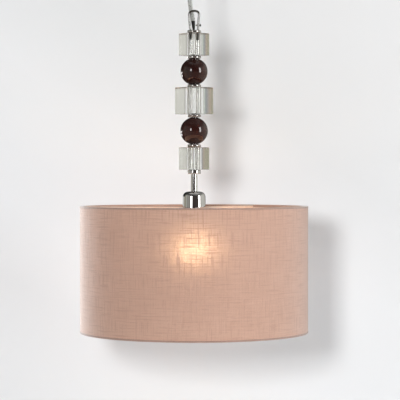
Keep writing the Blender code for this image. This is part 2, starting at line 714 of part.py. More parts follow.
def make_cord():
    """Clear cord from the swivel ball to the black sleeve at its lower end."""
    lean = (SLEEVE_MOUTH - SLEEVE_TIP).normalized()
    end = SLEEVE_MOUTH + lean * FIT_GAP
    route = [Vector((0.0, 0.0, CORD_TOP)), *CORD_ROUTE, end + lean * CORD_DIAMETER / 2]
    points = [*smooth_path(route, CORD_POINT_PITCH), end]
    wire("supply_cord", points, CORD_DIAMETER, CLEAR_PLASTIC, resolution=3)
    tip_share = SLEEVE_TIP_DIAMETER / SLEEVE_TOP_DIAMETER
    points = [SLEEVE_TIP, (SLEEVE_TIP + SLEEVE_MOUTH) / 2, SLEEVE_MOUTH]
    taper = [tip_share, (1 + tip_share) / 2, 1.0]
    wire("cord_sleeve", points, SLEEVE_TOP_DIAMETER, BLACK_PLASTIC, resolution=3, taper=taper)


def disc_outline(diameter, thickness, bore):
    """Outline of a round-edged disc with its top at height zero."""
    edge = thickness / 2
    rounded = arc((diameter / 2 - edge, -edge), edge, RIGHT_ANGLE, -RIGHT_ANGLE, DISC_EDGE_STEPS)
    return [*rounded, (bore / 2, -thickness), (bore / 2, 0.0)]


def make_loop():
    """Wire loop standing on its foot disc, with the clamp screw through its right leg."""
    top_half = (LOOP_TOP_WIDTH - LOOP_WIRE) / 2
    foot_half = (LOOP_FOOT_WIDTH - LOOP_WIRE) / 2
    spring = COLUMN_TOP + LOOP_HEIGHT - LOOP_WIRE / 2 - LOOP_ARCH_HEIGHT
    foot = COLUMN_TOP - LOOP_SINK
    points = [(-foot_half, 0.0, foot)]
    for i in range(LOOP_ARCH_STEPS + 1):
        angle = math.pi - math.pi * i / LOOP_ARCH_STEPS
        points.append((top_half * math.cos(angle), 0.0, spring + LOOP_ARCH_HEIGHT * math.sin(angle)))
    points.append((foot_half, 0.0, foot))
    bent = baked(wire("bent_wire", points, LOOP_WIRE, CHROME), weld=True)

    share = (CLAMP_HEIGHT + LOOP_SINK) / (spring - foot)
    leg = foot_half + (top_half - foot_half) * share
    screw_level = COLUMN_TOP + CLAMP_HEIGHT
    boss = rod("boss", CLAMP_BOSS, LOOP_WIRE + 2 * FIT_GAP, 0.0, CHROME)
    boss.rotation_euler.y = RIGHT_ANGLE
    boss.location = (leg + LOOP_WIRE / 2 + FIT_GAP, 0.0, screw_level)
    outline = disc_outline(DISC_DIAMETER, DISC_THICKNESS, NIPPLE_HOLE)
    disc = turned("hanging_loop", outline, COLUMN_TOP, CHROME)
    joined = combine(disc, [bent, boss], "UNION")

    hole = rod("clamp_cut", CLAMP_SCREW + 2 * FIT_GAP, 2 * LOOP_WIRE, 0.0, cutter=True, steps=12)
    hole.rotation_euler.y = RIGHT_ANGLE
    hole.location = (leg + LOOP_WIRE, 0.0, screw_level)
    combine(joined, [hole], "DIFFERENCE")

    screw = rod("loop_clamp_screw", CLAMP_SCREW, CLAMP_SCREW_LENGTH, 0.0, DARK_STEEL, steps=12)
    screw.rotation_euler.y = RIGHT_ANGLE
    sleeve_share = (screw_level - SLEEVE_TIP.z) / (SLEEVE_MOUTH.z - SLEEVE_TIP.z)
    sleeve = SLEEVE_TIP.lerp(SLEEVE_MOUTH, sleeve_share)
    width = SLEEVE_TIP_DIAMETER + (SLEEVE_TOP_DIAMETER - SLEEVE_TIP_DIAMETER) * sleeve_share
    near = sleeve.x + width / 2 + CLAMP_SCREW / 2 * sleeve_share + FIT_GAP
    screw.location = (near + CLAMP_SCREW_LENGTH, 0.0, screw_level)


def make_stem():
    """Upper nipple, tube, lower nipple, and the leads inside them."""
    nipple_top = COLUMN_TOP - NIPPLE_RECESS
    length = nipple_top - TUBE_TOP + NIPPLE_GRIP
    upper = tube_outline(NIPPLE_DIAMETER, NIPPLE_BORE, length)
    turned("loop_nipple", upper, nipple_top, DARK_STEEL, SMALL_STEPS)
    bottom = CUP_TOP + FIT_GAP
    tube = tube_outline(TUBE_DIAMETER, NIPPLE_HOLE, TUBE_TOP - bottom)
    turned("stem_tube", tube, TUBE_TOP, CHROME)
    lower_top = CUP_TOP + CUP_NIPPLE_GRIP
    lower = tube_outline(NIPPLE_DIAMETER, NIPPLE_BORE, CUP_NIPPLE_GRIP + CUP_NIPPLE_REACH)
    turned("cup_nipple", lower, lower_top, STEEL, SMALL_STEPS)


def make_stem_leads():
    """Three leads from the cord's sleeve down to the lampholder's terminals."""
    top = SLEEVE_TIP.z - FIT_GAP
    mouth = CUP_TOP - CUP_NIPPLE_REACH
    entry = INSERT_TOP + FIT_GAP + TERMINAL_HEIGHT / 2
    inner = TERMINAL_CIRCLE / 2 - TERMINAL_DEPTH / 2 - FIT_GAP
    for index in range(3):
        x, y = lead_place(index)
        out = Vector((x, y, 0.0)).normalized()
        start = Vector((x, y, 0.0)) + Vector((SLEEVE_TIP.x, SLEEVE_TIP.y, 0.0))
        settle = COLUMN_TOP - DISC_THICKNESS - NIPPLE_EXPOSED
        reach = math.hypot(x, y)
        bend = inner - reach
        points = [
            start + Vector((0.0, 0.0, top)),
            start + Vector((0.0, 0.0, top - LEAD_DIAMETER)),
            Vector((x, y, settle)),
            Vector((x, y, mouth)),
            out * (reach + bend / 8) + Vector((0.0, 0.0, (4 * mouth + entry) / 5)),
            out * (reach + bend / 3) + Vector((0.0, 0.0, (mouth + 2 * entry) / 3)),
            out * (reach + bend * 2 / 3) + Vector((0.0, 0.0, entry)),
            out * inner + Vector((0.0, 0.0, entry)),
        ]
        wire(f"stem_lead_{index + 1}", points, LEAD_DIAMETER, LEAD_COVER, resolution=1)


def make_glass():
    """Three cubes and two balls, free to turn on the tube, with bright discs between them."""
    cubes = (
        ("glass_cube_top", SMALL_CUBE_WIDTH, SMALL_CUBE_HEIGHT, FIRST_CUBE_TOP, CUBE_TURN),
        ("glass_cube_middle", LARGE_CUBE_WIDTH, LARGE_CUBE_HEIGHT, SECOND_CUBE_TOP, CUBE_TURN),
        ("glass_cube_bottom", SMALL_CUBE_WIDTH, SMALL_CUBE_HEIGHT, THIRD_CUBE_TOP, LOWEST_CUBE_TURN),
    )
    for name, width, height, top, turn in cubes:
        cube = block(name, (width, width, height), (0.0, 0.0, top - height / 2), CLEAR_GLASS, CUBE_EDGE, turn)
        bore = rod(f"{name}_bore", BEAD_BORE, height + 2 * CUT_OVERRUN, top + CUT_OVERRUN, cutter=True)
        combine(cube, [bore], "DIFFERENCE")
    balls = (
        ("glass_ball_upper", UPPER_BALL_DIAMETER, UPPER_BALL_FLAT, UPPER_BALL_TOP),
        ("glass_ball_lower", LOWER_BALL_DIAMETER, LOWER_BALL_FLAT, LOWER_BALL_TOP),
    )
    for name, diameter, flat, top in balls:
        half = ball_height(diameter, flat) / 2
        tilt = math.acos(flat / diameter)
        rounded = arc((0.0, 0.0), diameter / 2, tilt, -tilt, BALL_STEPS)
        outline = [*rounded, (BEAD_BORE / 2, -half), (BEAD_BORE / 2, half)]
        turned(name, outline, top - half, BROWN_GLASS)
    gap = FIT_GAP + DISC_THICKNESS
    discs = (
        ("spacer_disc_1", UPPER_BALL_TOP + gap),
        ("spacer_disc_2", SECOND_CUBE_TOP + gap),
        ("spacer_disc_3", LOWER_BALL_TOP + gap),
        ("spacer_disc_4", THIRD_CUBE_TOP + gap),
    )
    for name, top in discs:
        turned(name, disc_outline(DISC_DIAMETER, DISC_THICKNESS, BEAD_BORE), top, CHROME)
    collar = disc_outline(COLLAR_DIAMETER, COLLAR_THICKNESS, BEAD_BORE)
    turned("end_collar", collar, COLLAR_TOP, CHROME)


def make_cup():
    """Chrome cup of the lampholder, with the washer and nut that fix it on the nipple."""
    outer, wall, round_off = CUP_DIAMETER / 2, CUP_WALL, CUP_SHOULDER
    hub = (outer - round_off, -round_off)
    outside = arc(hub, round_off, RIGHT_ANGLE, 0.0, CUP_SHOULDER_STEPS)
    inside = arc(hub, round_off - wall, 0.0, RIGHT_ANGLE, CUP_SHOULDER_STEPS)
    outline = [
        (NIPPLE_HOLE / 2, 0.0),
        *outside,
        (outer, -CUP_HEIGHT),
        (outer - wall, -CUP_HEIGHT),
        *inside,
        (NIPPLE_HOLE / 2, -wall),
    ]
    turned("holder_cup", outline, CUP_TOP, CHROME)
    washer_top = CUP_TOP - CUP_WALL - FIT_GAP
    ring = tube_outline(LOCK_WASHER_DIAMETER, NIPPLE_HOLE, LOCK_WASHER_THICKNESS)
    turned("lock_washer", ring, washer_top, STEEL, SMALL_STEPS)
    nut_top = washer_top - LOCK_WASHER_THICKNESS - FIT_GAP
    across_corners = NUT_ACROSS_FLATS / math.cos(math.pi / 6)
    sheet(
        "cup_nut",
        [circle(across_corners, steps=6), circle(NIPPLE_HOLE, steps=SMALL_STEPS)],
        NUT_HEIGHT,
        nut_top,
        BRASS,
    )


def make_skirt():
    """Threaded skirt that screws into the cup and carries the shade's clamp ring."""
    collar, crest = COLLAR_OF_SKIRT / 2, SKIRT_THREAD / 2
    root = crest - SKIRT_THREAD_DEPTH
    height = SKIRT_TOP - SKIRT_BOTTOM
    start = -SKIRT_OVERLAP - SKIRT_PLAIN
    outline = [(collar, 0.0), (collar, -SKIRT_OVERLAP), (crest, -SKIRT_OVERLAP), (crest, start)]
    for turn in range(SKIRT_THREAD_TURNS):
        level = start - turn * SKIRT_THREAD_PITCH
        outline.append((root, level - SKIRT_THREAD_PITCH / 2))
        outline.append((crest, level - SKIRT_THREAD_PITCH))
    outline += [(crest, -height), (SKIRT_BORE / 2, -height), (SKIRT_BORE / 2, 0.0)]
    turned("holder_skirt", outline, SKIRT_TOP, BLACK_PLASTIC)


def make_insert():
    """Ceramic insert with its terminals, screw shell and centre contact."""
    flange, barrel, recess = COLLAR_OF_SKIRT / 2, INSERT_DIAMETER / 2, RECESS_DIAMETER / 2
    reach = INSERT_FLOOR + SHELL_LENGTH + FIT_GAP
    outline = [
        (0.0, 0.0),
        (flange, 0.0),
        (flange, -INSERT_FLANGE),
        (barrel, -INSERT_FLANGE),
        (barrel, -reach),
        (recess, -reach),
        (recess, -INSERT_FLOOR),
        (0.0, -INSERT_FLOOR),
    ]
    turned("holder_insert", outline, INSERT_TOP, CERAMIC)
    for index in range(3):
        bearing = index * 2 * math.pi / 3 - RIGHT_ANGLE
        place = (TERMINAL_CIRCLE / 2 * math.cos(bearing), TERMINAL_CIRCLE / 2 * math.sin(bearing))
        base = INSERT_TOP + FIT_GAP
        size = (TERMINAL_DEPTH, TERMINAL_WIDTH, TERMINAL_HEIGHT)
        name = f"holder_terminal_{index + 1}"
        brass = block(name, size, (*place, base + TERMINAL_HEIGHT / 2), BRASS, turn=bearing)
        top = base + TERMINAL_HEIGHT + TERMINAL_SCREW_HEAD
        height = TERMINAL_SCREW_HEAD + TERMINAL_HEIGHT / 2
        head = rod("head", TERMINAL_SCREW, height, top, BRASS, steps=12, centre=place)
        combine(brass, [head], "UNION")
    shell = tube_outline(SHELL_DIAMETER, SHELL_DIAMETER - 2 * SHELL_WALL, SHELL_LENGTH)
    turned("screw_shell", shell, RECESS_TOP - FIT_GAP, BRASS)
    make_tongue()


def make_tongue():
    """Springy centre contact: a bent strip under the insert's floor."""
    thick, drop = TONGUE_THICKNESS, TONGUE_DROP
    reach = RECESS_DIAMETER / 4
    low = thick / 2 - drop
    middle = [(-reach, -thick / 2), (-reach / 2, -thick / 2), (0.0, low), (reach / 2, low)]
    normals = []
    for i in range(len(middle)):
        before, after = middle[max(i - 1, 0)], middle[min(i + 1, len(middle) - 1)]
        along = Vector((after[0] - before[0], after[1] - before[1])).normalized()
        normals.append(Vector((-along.y, along.x)) * thick / 2)
    upper = [(p[0] + n.x, p[1] + n.y) for p, n in zip(middle, normals)]
    lower = [(p[0] - n.x, p[1] - n.y) for p, n in zip(middle, normals)]
    strip = sheet("centre_contact", [[*upper, *reversed(lower)]], TONGUE_WIDTH, 0.0, BRASS)
    strip.rotation_euler.x = RIGHT_ANGLE
    strip.location = (0.0, 0.0, RECESS_TOP - FIT_GAP)


def make_shade_frame():
    """Fitter ring, three arms and the upper wire ring as one welded frame, and the lower ring."""
    ring_level = SHADE_TOP - RING_DROP
    upper = turned("shade_spider", wire_ring(), ring_level, CHROME, steps=SHADE_STEPS)
    fitter_outer = FITTER_HOLE + 2 * FITTER_RIM
    fitter = turned("fitter", tube_outline(fitter_outer, FITTER_HOLE, FITTER_THICKNESS), FITTER_TOP, CHROME)
    inner = fitter_outer / 2 - ARM_SINK
    arms = []
    for bearing in ARM_BEARINGS:
        out = Vector((math.sin(bearing), math.cos(bearing), 0.0))
        level = Vector((0.0, 0.0, ring_level))
        points = [out * inner + level, out * (RING_CENTRE_RADIUS - ARM_WIRE / 7) + level]
        arms.append(baked(wire("arm", points, ARM_WIRE, CHROME, resolution=2), weld=True))
    combine(upper, [fitter, *arms], "UNION")
    turned("shade_bottom_ring", wire_ring(), SHADE_BOTTOM + RING_DROP, CHROME, steps=SHADE_STEPS)


def wire_ring():
    """Section of a wire ring of the shade, centred on height zero."""
    points = arc((RING_CENTRE_RADIUS, 0.0), RING_WIRE / 2, RIGHT_ANGLE, -3 * RIGHT_ANGLE, 6)
    return points[:-1]


def make_shade_cover():
    """Stiff liner, linen cover and the two rolled hems over the wire rings."""
    web = HEM_WEB + FIT_GAP
    height = SHADE_HEIGHT - 2 * web
    liner = tube_outline(LINER_DIAMETER, LINER_DIAMETER - 2 * LINER_THICKNESS, height)
    turned("shade_liner", liner, SHADE_TOP - web, LINER, steps=SHADE_STEPS)
    inner = SHADE_DIAMETER - 2 * FABRIC_THICKNESS
    edge = HEM_DEPTH + FIT_GAP
    cover = tube_outline(SHADE_DIAMETER, inner, SHADE_HEIGHT - 2 * edge)
    turned("shade_fabric", cover, SHADE_TOP - edge, LINEN, steps=SHADE_STEPS)
    outer = SHADE_DIAMETER / 2
    hem = [
        (outer, 0.0),
        (outer, -HEM_DEPTH),
        (outer - FABRIC_THICKNESS, -HEM_DEPTH),
        (outer - FABRIC_THICKNESS, -HEM_WEB),
        (HEM_INNER / 2 + HEM_WEB, -HEM_WEB),
        (HEM_INNER / 2 + HEM_WEB, -HEM_TAIL),
        (HEM_INNER / 2, -HEM_TAIL),
        (HEM_INNER / 2, 0.0),
    ]
    upper = turned("shade_top_hem", hem, SHADE_TOP, LINEN, steps=SHADE_STEPS)
    notches = []
    width = ARM_WIRE + 2 * NOTCH_CLEARANCE
    depth = 2 * (HEM_WEB + FIT_GAP)
    for bearing in ARM_BEARINGS:
        reach = HEM_INNER / 2 + HEM_WEB / 2
        centre = (reach * math.sin(bearing), reach * math.cos(bearing), SHADE_TOP - HEM_WEB - HEM_TAIL / 2)
        notches.append(block("notch", (width, depth, HEM_TAIL), centre, turn=-bearing, cutter=True))
    combine(upper, notches, "DIFFERENCE")
    flipped = [(radius, -height) for radius, height in reversed(hem)]
    turned("shade_bottom_hem", flipped, SHADE_BOTTOM, LINEN, steps=SHADE_STEPS)


def make_clamp_ring():
    """Flanged ring nut on the skirt's thread that holds the fitter against the cup."""
    bore = FITTER_HOLE / 2
    outline = [
        (bore + CLAMP_FLANGE_RIM, 0.0),
        (bore + CLAMP_FLANGE_RIM, -CLAMP_FLANGE_HEIGHT),
        (bore + CLAMP_BODY_RIM, -CLAMP_FLANGE_HEIGHT),
        (bore + CLAMP_BODY_RIM, -CLAMP_RING_HEIGHT),
        (bore, -CLAMP_RING_HEIGHT),
        (bore, 0.0),
    ]
    turned("shade_clamp_ring", outline, CLAMP_TOP, BLACK_PLASTIC)


def make_bulb_cap():
    """Centre contact, black insulator and threaded metal cap of the bulb."""
    tip = BULB_TIP_DIAMETER / 2
    contact = [(0.0, 0.0), (tip * 2 / 3, 0.0), (tip, -BULB_TIP_HEIGHT), (0.0, -BULB_TIP_HEIGHT)]
    turned("bulb_contact", contact, BULB_TOP, STEEL, SMALL_STEPS)
    crest = BULB_CAP_DIAMETER / 2
    root = crest - BULB_THREAD_DEPTH
    collar = [(0.0, -FIT_GAP), (tip, -FIT_GAP), (root - FIT_GAP, -INSULATOR_HEIGHT), (0.0, -INSULATOR_HEIGHT)]
    turned("bulb_insulator", collar, INSULATOR_TOP, BLACK_PLASTIC)
    inner = root - BULB_CAP_WALL
    outline = [(inner, 0.0), (root, 0.0), (root, -BULB_THREAD_START)]
    for turn in range(BULB_THREAD_TURNS):
        level = -BULB_THREAD_START - turn * BULB_THREAD_PITCH
        outline.append((crest, level - BULB_THREAD_PITCH / 2))
        outline.append((root, level - BULB_THREAD_PITCH))
    outline += [(root, -BULB_CAP_LENGTH), (inner, -BULB_CAP_LENGTH)]
    turned("bulb_cap", outline, BULB_CAP_TOP - FIT_GAP, BRASS, steps=20)


def make_bulb_glass():
    """Hollow glass globe on its neck, with the glass mount and filament inside."""
    radius, neck = BULB_DIAMETER / 2, BULB_NECK_DIAMETER / 2
    neck_top = BULB_CAP_BOTTOM + NECK_SINK
    centre = BULB_BOTTOM + radius
    start = math.radians(38)
    globe = arc((0.0, centre), radius, start, -RIGHT_ANGLE, GLOBE_STEPS)
    shoulder = globe[0]
    waist = BULB_CAP_BOTTOM - FIT_GAP
    flare = [(neck, neck_top), (neck, waist)]
    for share in (0.34, 0.68):
        blend = share * share * (3 - 2 * share)
        flare.append((neck + (shoulder[0] - neck) * blend, waist + (shoulder[1] - waist) * share))
    outer = [*flare, *globe[:-1], (0.0, BULB_BOTTOM)]
    inner_scale = (radius - BULB_WALL) / radius
    inner = [(0.0, BULB_BOTTOM + BULB_WALL)]
    inner += [(r * inner_scale, centre + (z - centre) * inner_scale) for r, z in reversed(globe[:-1])]
    inner += [(r - BULB_WALL, z) for r, z in reversed(flare)]
    turned("bulb_glass", [*outer, *inner], 0.0, OPAL_GLASS, steps=20)

    bore = neck - BULB_WALL - FIT_GAP
    rod_radius = STEM_ROD / 2
    mount = [
        (0.0, 0.0),
        (bore, 0.0),
        (bore, -STEM_FLARE_HEIGHT),
        (rod_radius, -STEM_FLARE_HEIGHT - bore),
        (rod_radius, -STEM_LENGTH),
        (0.0, -STEM_LENGTH),
    ]
    turned("bulb_mount", mount, neck_top, CLEAR_GLASS, SMALL_STEPS)
    top = neck_top - STEM_LENGTH - FIT_GAP
    spread = FILAMENT_SPREAD / 2
    points = [
        (-rod_radius / 2, 0.0, top),
        (-rod_radius, 0.0, top - FILAMENT_REACH / 4),
        (-spread, 0.0, top - FILAMENT_REACH),
        (-spread / 2, spread / 4, top - FILAMENT_REACH),
        (0.0, 0.0, top - FILAMENT_REACH),
        (spread / 2, spread / 4, top - FILAMENT_REACH),
        (spread, 0.0, top - FILAMENT_REACH),
        (rod_radius, 0.0, top - FILAMENT_REACH / 4),
        (rod_radius / 2, 0.0, top),
    ]
    wire("bulb_filament", points, FILAMENT_WIRE, STEEL, resolution=1)


def hang_together():
    """Parents what moves to empties on the joints' axes, from the ceiling down."""
    swivel = (0.0, 0.0, SWIVEL_CENTRE)
    ball = pivot("swivel_ball_axis", swivel)
    stop = pivot("cord_stop_axis", swivel, ball)
    lamp = pivot("lamp_axis", swivel, stop)
    shade = pivot("shade_axis", (0.0, 0.0, FITTER_TOP), lamp)
    ring = pivot("clamp_ring_axis", (0.0, 0.0, CLAMP_TOP), shade)
    bulb = pivot("bulb_axis", (0.0, 0.0, BULB_TOP), lamp)
    fixed = ("ceiling_", "hanger_", "bridge_", "grip_", "terminal_", "canopy_")
    for obj in list(LAMP.objects):
        if obj.type == "EMPTY" or obj.name.startswith(fixed):
            continue
        holder = lamp
        if obj.name == "swivel_ball":
            holder = ball
        elif obj.name == "cord_stop":
            holder = stop
        elif obj.name == "shade_clamp_ring":
            holder = ring
        elif obj.name.startswith("shade_"):
            holder = shade
        elif obj.name.startswith("bulb_"):
            holder = bulb
        attach(holder, [obj])


make_ceiling_plate()
make_bridge()
make_rivets()
make_grip()
make_canopy()
make_terminal_block()
make_cord()
make_loop()
make_stem()
make_stem_leads()
make_glass()
make_cup()
make_skirt()
make_insert()
make_shade_frame()
make_shade_cover()
make_clamp_ring()
make_bulb_cap()
make_bulb_glass()
hang_together()
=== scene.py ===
"""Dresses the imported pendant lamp: the camera, the room, its light, and every surface that shows."""

import json
import math

import bmesh
import bpy
import numpy
from mathutils import Matrix, Vector

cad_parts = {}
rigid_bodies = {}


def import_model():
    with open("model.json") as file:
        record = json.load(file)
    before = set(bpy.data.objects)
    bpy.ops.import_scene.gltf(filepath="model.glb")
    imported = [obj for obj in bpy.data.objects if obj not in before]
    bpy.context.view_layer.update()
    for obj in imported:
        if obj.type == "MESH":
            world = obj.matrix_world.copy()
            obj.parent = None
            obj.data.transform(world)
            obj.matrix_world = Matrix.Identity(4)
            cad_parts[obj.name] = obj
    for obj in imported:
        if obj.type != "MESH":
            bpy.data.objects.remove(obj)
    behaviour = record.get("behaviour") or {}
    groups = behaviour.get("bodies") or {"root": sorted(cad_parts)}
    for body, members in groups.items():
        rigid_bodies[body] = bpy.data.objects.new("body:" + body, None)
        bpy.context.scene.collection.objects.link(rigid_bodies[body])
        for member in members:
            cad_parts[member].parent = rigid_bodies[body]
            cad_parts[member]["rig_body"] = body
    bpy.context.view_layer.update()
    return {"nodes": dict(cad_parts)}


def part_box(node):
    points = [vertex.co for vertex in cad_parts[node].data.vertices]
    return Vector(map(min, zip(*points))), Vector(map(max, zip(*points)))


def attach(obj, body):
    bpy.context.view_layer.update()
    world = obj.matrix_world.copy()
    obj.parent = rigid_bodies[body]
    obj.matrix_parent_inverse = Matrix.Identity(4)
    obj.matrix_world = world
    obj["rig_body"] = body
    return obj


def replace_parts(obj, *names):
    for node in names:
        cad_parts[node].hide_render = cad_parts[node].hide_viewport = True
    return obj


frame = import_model()

# Picture: a long lens well back from the lamp, a little below its middle
LENS = 155.0
SENSOR_WIDTH = 36.0
CAMERA_PLACE = (0.0109, -3.17, -0.412)
CAMERA_PITCH = math.radians(-0.78)

# Fit and detail
FIT_GAP = 0.0003
SAME_RADIUS = 1e-6
SOFT_EDGE = 0.0004
EDGE_STEPS = 3
EDGE_MOST = 0.35
GUARD_SHARE = 1.35
DISC_EDGE_STEPS = 18
SMALL_STEPS = 48
ROUND_STEPS = 96
CANOPY_STEPS = 144
WIRE_RING_STEPS = 180
RIBBED_STEPS = 192
SHADE_STEPS = 288
SHARP_ANGLE = math.radians(32)
QUARTER = math.radians(90)
TURN = 2 * math.pi

# Cord and the black sleeve at its lower end, as in the part's source
CORD_DIAMETER = 0.008
CORD_POINT_PITCH = 0.0075
SLEEVE_TOP_DIAMETER = 0.0074
SLEEVE_TIP_DIAMETER = 0.0038
SLEEVE_TIP = Vector((-0.00025, 0.00035, -0.1470))
SLEEVE_MOUTH = Vector((-0.00190, 0.00215, -0.1263))
CORD_TOP = Vector((0.0, 0.0, -0.015066))
CORD_ROUTE = (
    Vector((0.0, 0.0, -0.0220)),
    Vector((0.0, 0.0, -0.0300)),
    Vector((-0.0007, 0.0006, -0.0375)),
    Vector((-0.0026, 0.0024, -0.0462)),
    Vector((-0.0051, 0.0048, -0.0550)),
    Vector((-0.0073, 0.0071, -0.0641)),
    Vector((-0.0083, 0.0087, -0.0741)),
    Vector((-0.0080, 0.0092, -0.0841)),
    Vector((-0.0071, 0.0090, -0.0951)),
    Vector((-0.0057, 0.0079, -0.1056)),
    Vector((-0.0037, 0.0052, -0.1156)),
)
SLEEVE_STEPS = 12
LEAD_COUNT = 3
LEAD_DIAMETER = 0.0016
LEAD_RING_RADIUS = 0.0015
LEAD_LAY = 0.050
LEAD_POINT_PITCH = 0.001
LEAD_INSET = 0.001

# Column
LOOP_WIRE = 0.0042
LOOP_SINK = 0.0010
LOOP_TOP_HALF = 0.0091
LOOP_FOOT_HALF = 0.0069
LOOP_ARCH = 0.0070
LOOP_SQUARE_SHARE = 0.85
LOOP_HEIGHT = 0.0375
LOOP_LEG_STEPS = 8
LOOP_ARCH_STEPS = 32
FOOT_THICKNESS = 0.0055
CLAMP_HEAD_LENGTH = 0.0020
CLAMP_HEAD_RADIUS = 0.0020
NIPPLE_BORE = 0.0037
NIPPLE_HOLE = 0.0052
BEAD_BORE = 0.0063
CUBE_HALF = 0.0200
MIDDLE_CUBE_HALF = 0.0250
CUBE_EDGE = 0.0006
CUBE_TURN = math.radians(45)
LOWEST_CUBE_TURN = math.radians(43)
CUBE_BULGE = 0.00022
CUBE_SIDE_STEPS = 24
BALL_STEPS = 48
DISC_COUNT = 4
COLLAR_EDGE = 0.0015
NIPPLE_PITCH = 0.0010
NIPPLE_THREAD_DEPTH = 0.00035
NIPPLE_PITCH_STEPS = 8

# Lampholder
CUP_WALL = 0.0010
CUP_SHOULDER = 0.0110
CUP_TAPER = 0.0004
CUP_STEPS = 20
SKIRT_WALL = 0.0032
SKIRT_COLLAR = 0.0080
SKIRT_PITCH = 0.0025
SKIRT_THREAD_DEPTH = 0.0008
SKIRT_THREAD_START = 0.0130
SKIRT_THREAD_END = 0.0060
SKIRT_PITCH_STEPS = 10

# Shade
RING_WIRE = 0.0040
ARM_WIRE = 0.0037
ARM_BEARINGS = (math.radians(34), math.radians(154), math.radians(274))
ARM_START = 0.0060
ARM_END_GAP = 0.0005
FITTER_THICKNESS = 0.0020
FITTER_OUTER = 0.02845
FITTER_PLAY = 0.0004
CLAMP_FLANGE = 0.0025
RIB_COUNT = 24
RIB_DEPTH = 0.0003
CLOTH_INSET = 0.0004
CLOTH_ROWS = 40
LINER_ROWS = 8
HEM_HEIGHT = 0.0033
HEM_LAP = 0.0018
HEM_THICKNESS = 0.0013
HEM_FOLD = 0.0010
HEM_BACK_HEIGHT = 0.0055
HEM_BACK_OUTER = 0.2028
HEM_BACK_INNER = 0.2018
HEM_EDGE = 0.0006

# Bright windows that only polish and glass show: their strength, and for each its bearing, rise, width
# and height in degrees
WINDOW_LEVEL = 7.5
WINDOWS = (
    (-27, 9.3, 12, 18),
    (53, 9, 15, 35),
    (-139, -10.5, 16, 6),
    (-134, -2.2, 30, 2.8),
    (117, 84, 8, 8),
)

# Bulb's shape
BULB_WALL = 0.0009
BULB_NECK = 0.0115
BULB_SHOULDER = math.radians(38)
BULB_GLOBE_STEPS = 40
BULB_FLARE_STEPS = 12
BULB_STEPS = 72
CAP_WALL = 0.0005
CAP_EDGE = 0.0002
CAP_PITCH = 0.00362
CAP_THREAD_DEPTH = 0.0008
CAP_THREAD_START = 0.0030
CAP_THREAD_END = 0.0060
CAP_THREAD_FADE = 0.002
CAP_PITCH_STEPS = 12

# Bulb's light for the shade and for the camera, its fall at the neck, and the share that the liner passes
BULB_LEVEL = 22.5
BULB_SEEN_LEVEL = 1.25
BULB_NECK_SHARE = 0.15
BULB_FADE = (-0.527, -0.498)
LINER_PASSES = 0.75

# Ceiling fitting
CANOPY_WALL = 0.0012
CANOPY_CORNER = 0.008
CANOPY_CORNER_STEPS = 12
GRIP_HOLE = 0.0108
GRIP_MOUTH = 0.0082
GRIP_BEVEL = 0.003

# Room: the wall, the pale paper that the camera sees, and tones that polished pieces mirror
WALL_PLACE = 0.38
WALL_TOP = 2.6
FLOOR_LEVEL = -1.60
FLOOR_FRONT = -7.0
COVE_RADIUS = 0.60
COVE_STEPS = 16
BACKDROP_HALF = 5.0
LAMP_MIDDLE = Vector((0.0, 0.0, -0.40))
PAPER = (0.86, 0.86, 0.86, 1.0)
FLOOR_TONE = (0.46, 0.38, 0.33)
OVERHEAD_TONE = (0.50, 0.49, 0.48)
BACK_LEFT_TONE = (0.04, 0.04, 0.038)


# Meshes and pieces


def mesh_of(name, points, faces):
    """A mesh with its normals outward, round faces smooth and real edges sharp."""
    mesh = bpy.data.meshes.new(name)
    mesh.from_pydata([tuple(p) for p in points], [], faces)
    work = bmesh.new()
    work.from_mesh(mesh)
    bmesh.ops.recalc_face_normals(work, faces=work.faces)
    work.to_mesh(mesh)
    work.free()
    mesh.shade_smooth()
    mesh.set_sharp_from_angle(angle=SHARP_ANGLE)
    return mesh


def revolved(name, outline, steps=ROUND_STEPS, ripple=None):
    """An outline of (radius, height) points turned about the vertical. ripple changes a point's radius."""
    points, rings = [], []
    for radius, height in outline:
        start = len(points)
        if radius == 0.0:
            points.append((0.0, 0.0, height))
            rings.append([start])
            continue
        for i in range(steps):
            angle = TURN * i / steps
            reach = ripple(radius, height, angle) if ripple else radius
            points.append((reach * math.cos(angle), reach * math.sin(angle), height))
        rings.append(list(range(start, start + steps)))
    closed = outline[0][0] > 0.0 or outline[-1][0] > 0.0
    pairs = list(zip(rings, rings[1:] + rings[:1] if closed else rings[1:]))
    return mesh_of(name, points, ring_faces(pairs, steps))


def ring_faces(pairs, steps):
    """Faces between pairs of closed rings of point numbers, where a ring may be one point."""
    faces = []
    for upper, lower in pairs:
        for i in range(steps):
            j = (i + 1) % steps
            left = [upper[i % len(upper)], lower[i % len(lower)]]
            right = [lower[j % len(lower)], upper[j % len(upper)]]
            face = list(dict.fromkeys(left + right))
            if len(face) > 2:
                faces.append(face)
    return faces


def softened(outline, radius=SOFT_EDGE, closed=True):
    """The outline with its corners rounded. A point beside each corner keeps flat faces flat."""
    made = []
    count = len(outline)
    for i, point in enumerate(outline):
        here = Vector(point)
        if not closed and i in (0, count - 1) or point[0] == 0.0:
            made.append(tuple(here))
            continue
        before, after = Vector(outline[i - 1]) - here, Vector(outline[(i + 1) % count]) - here
        if math.pi - before.angle(after) < SHARP_ANGLE:
            made.append(tuple(here))
            continue
        start = here + before * min(radius / before.length, EDGE_MOST)
        end = here + after * min(radius / after.length, EDGE_MOST)
        made.append(tuple(here.lerp(start, GUARD_SHARE)))
        for step in range(EDGE_STEPS + 1):
            share = step / EDGE_STEPS
            made.append(tuple(start.lerp(here, share).lerp(here.lerp(end, share), share)))
        made.append(tuple(here.lerp(end, GUARD_SHARE)))
    return made


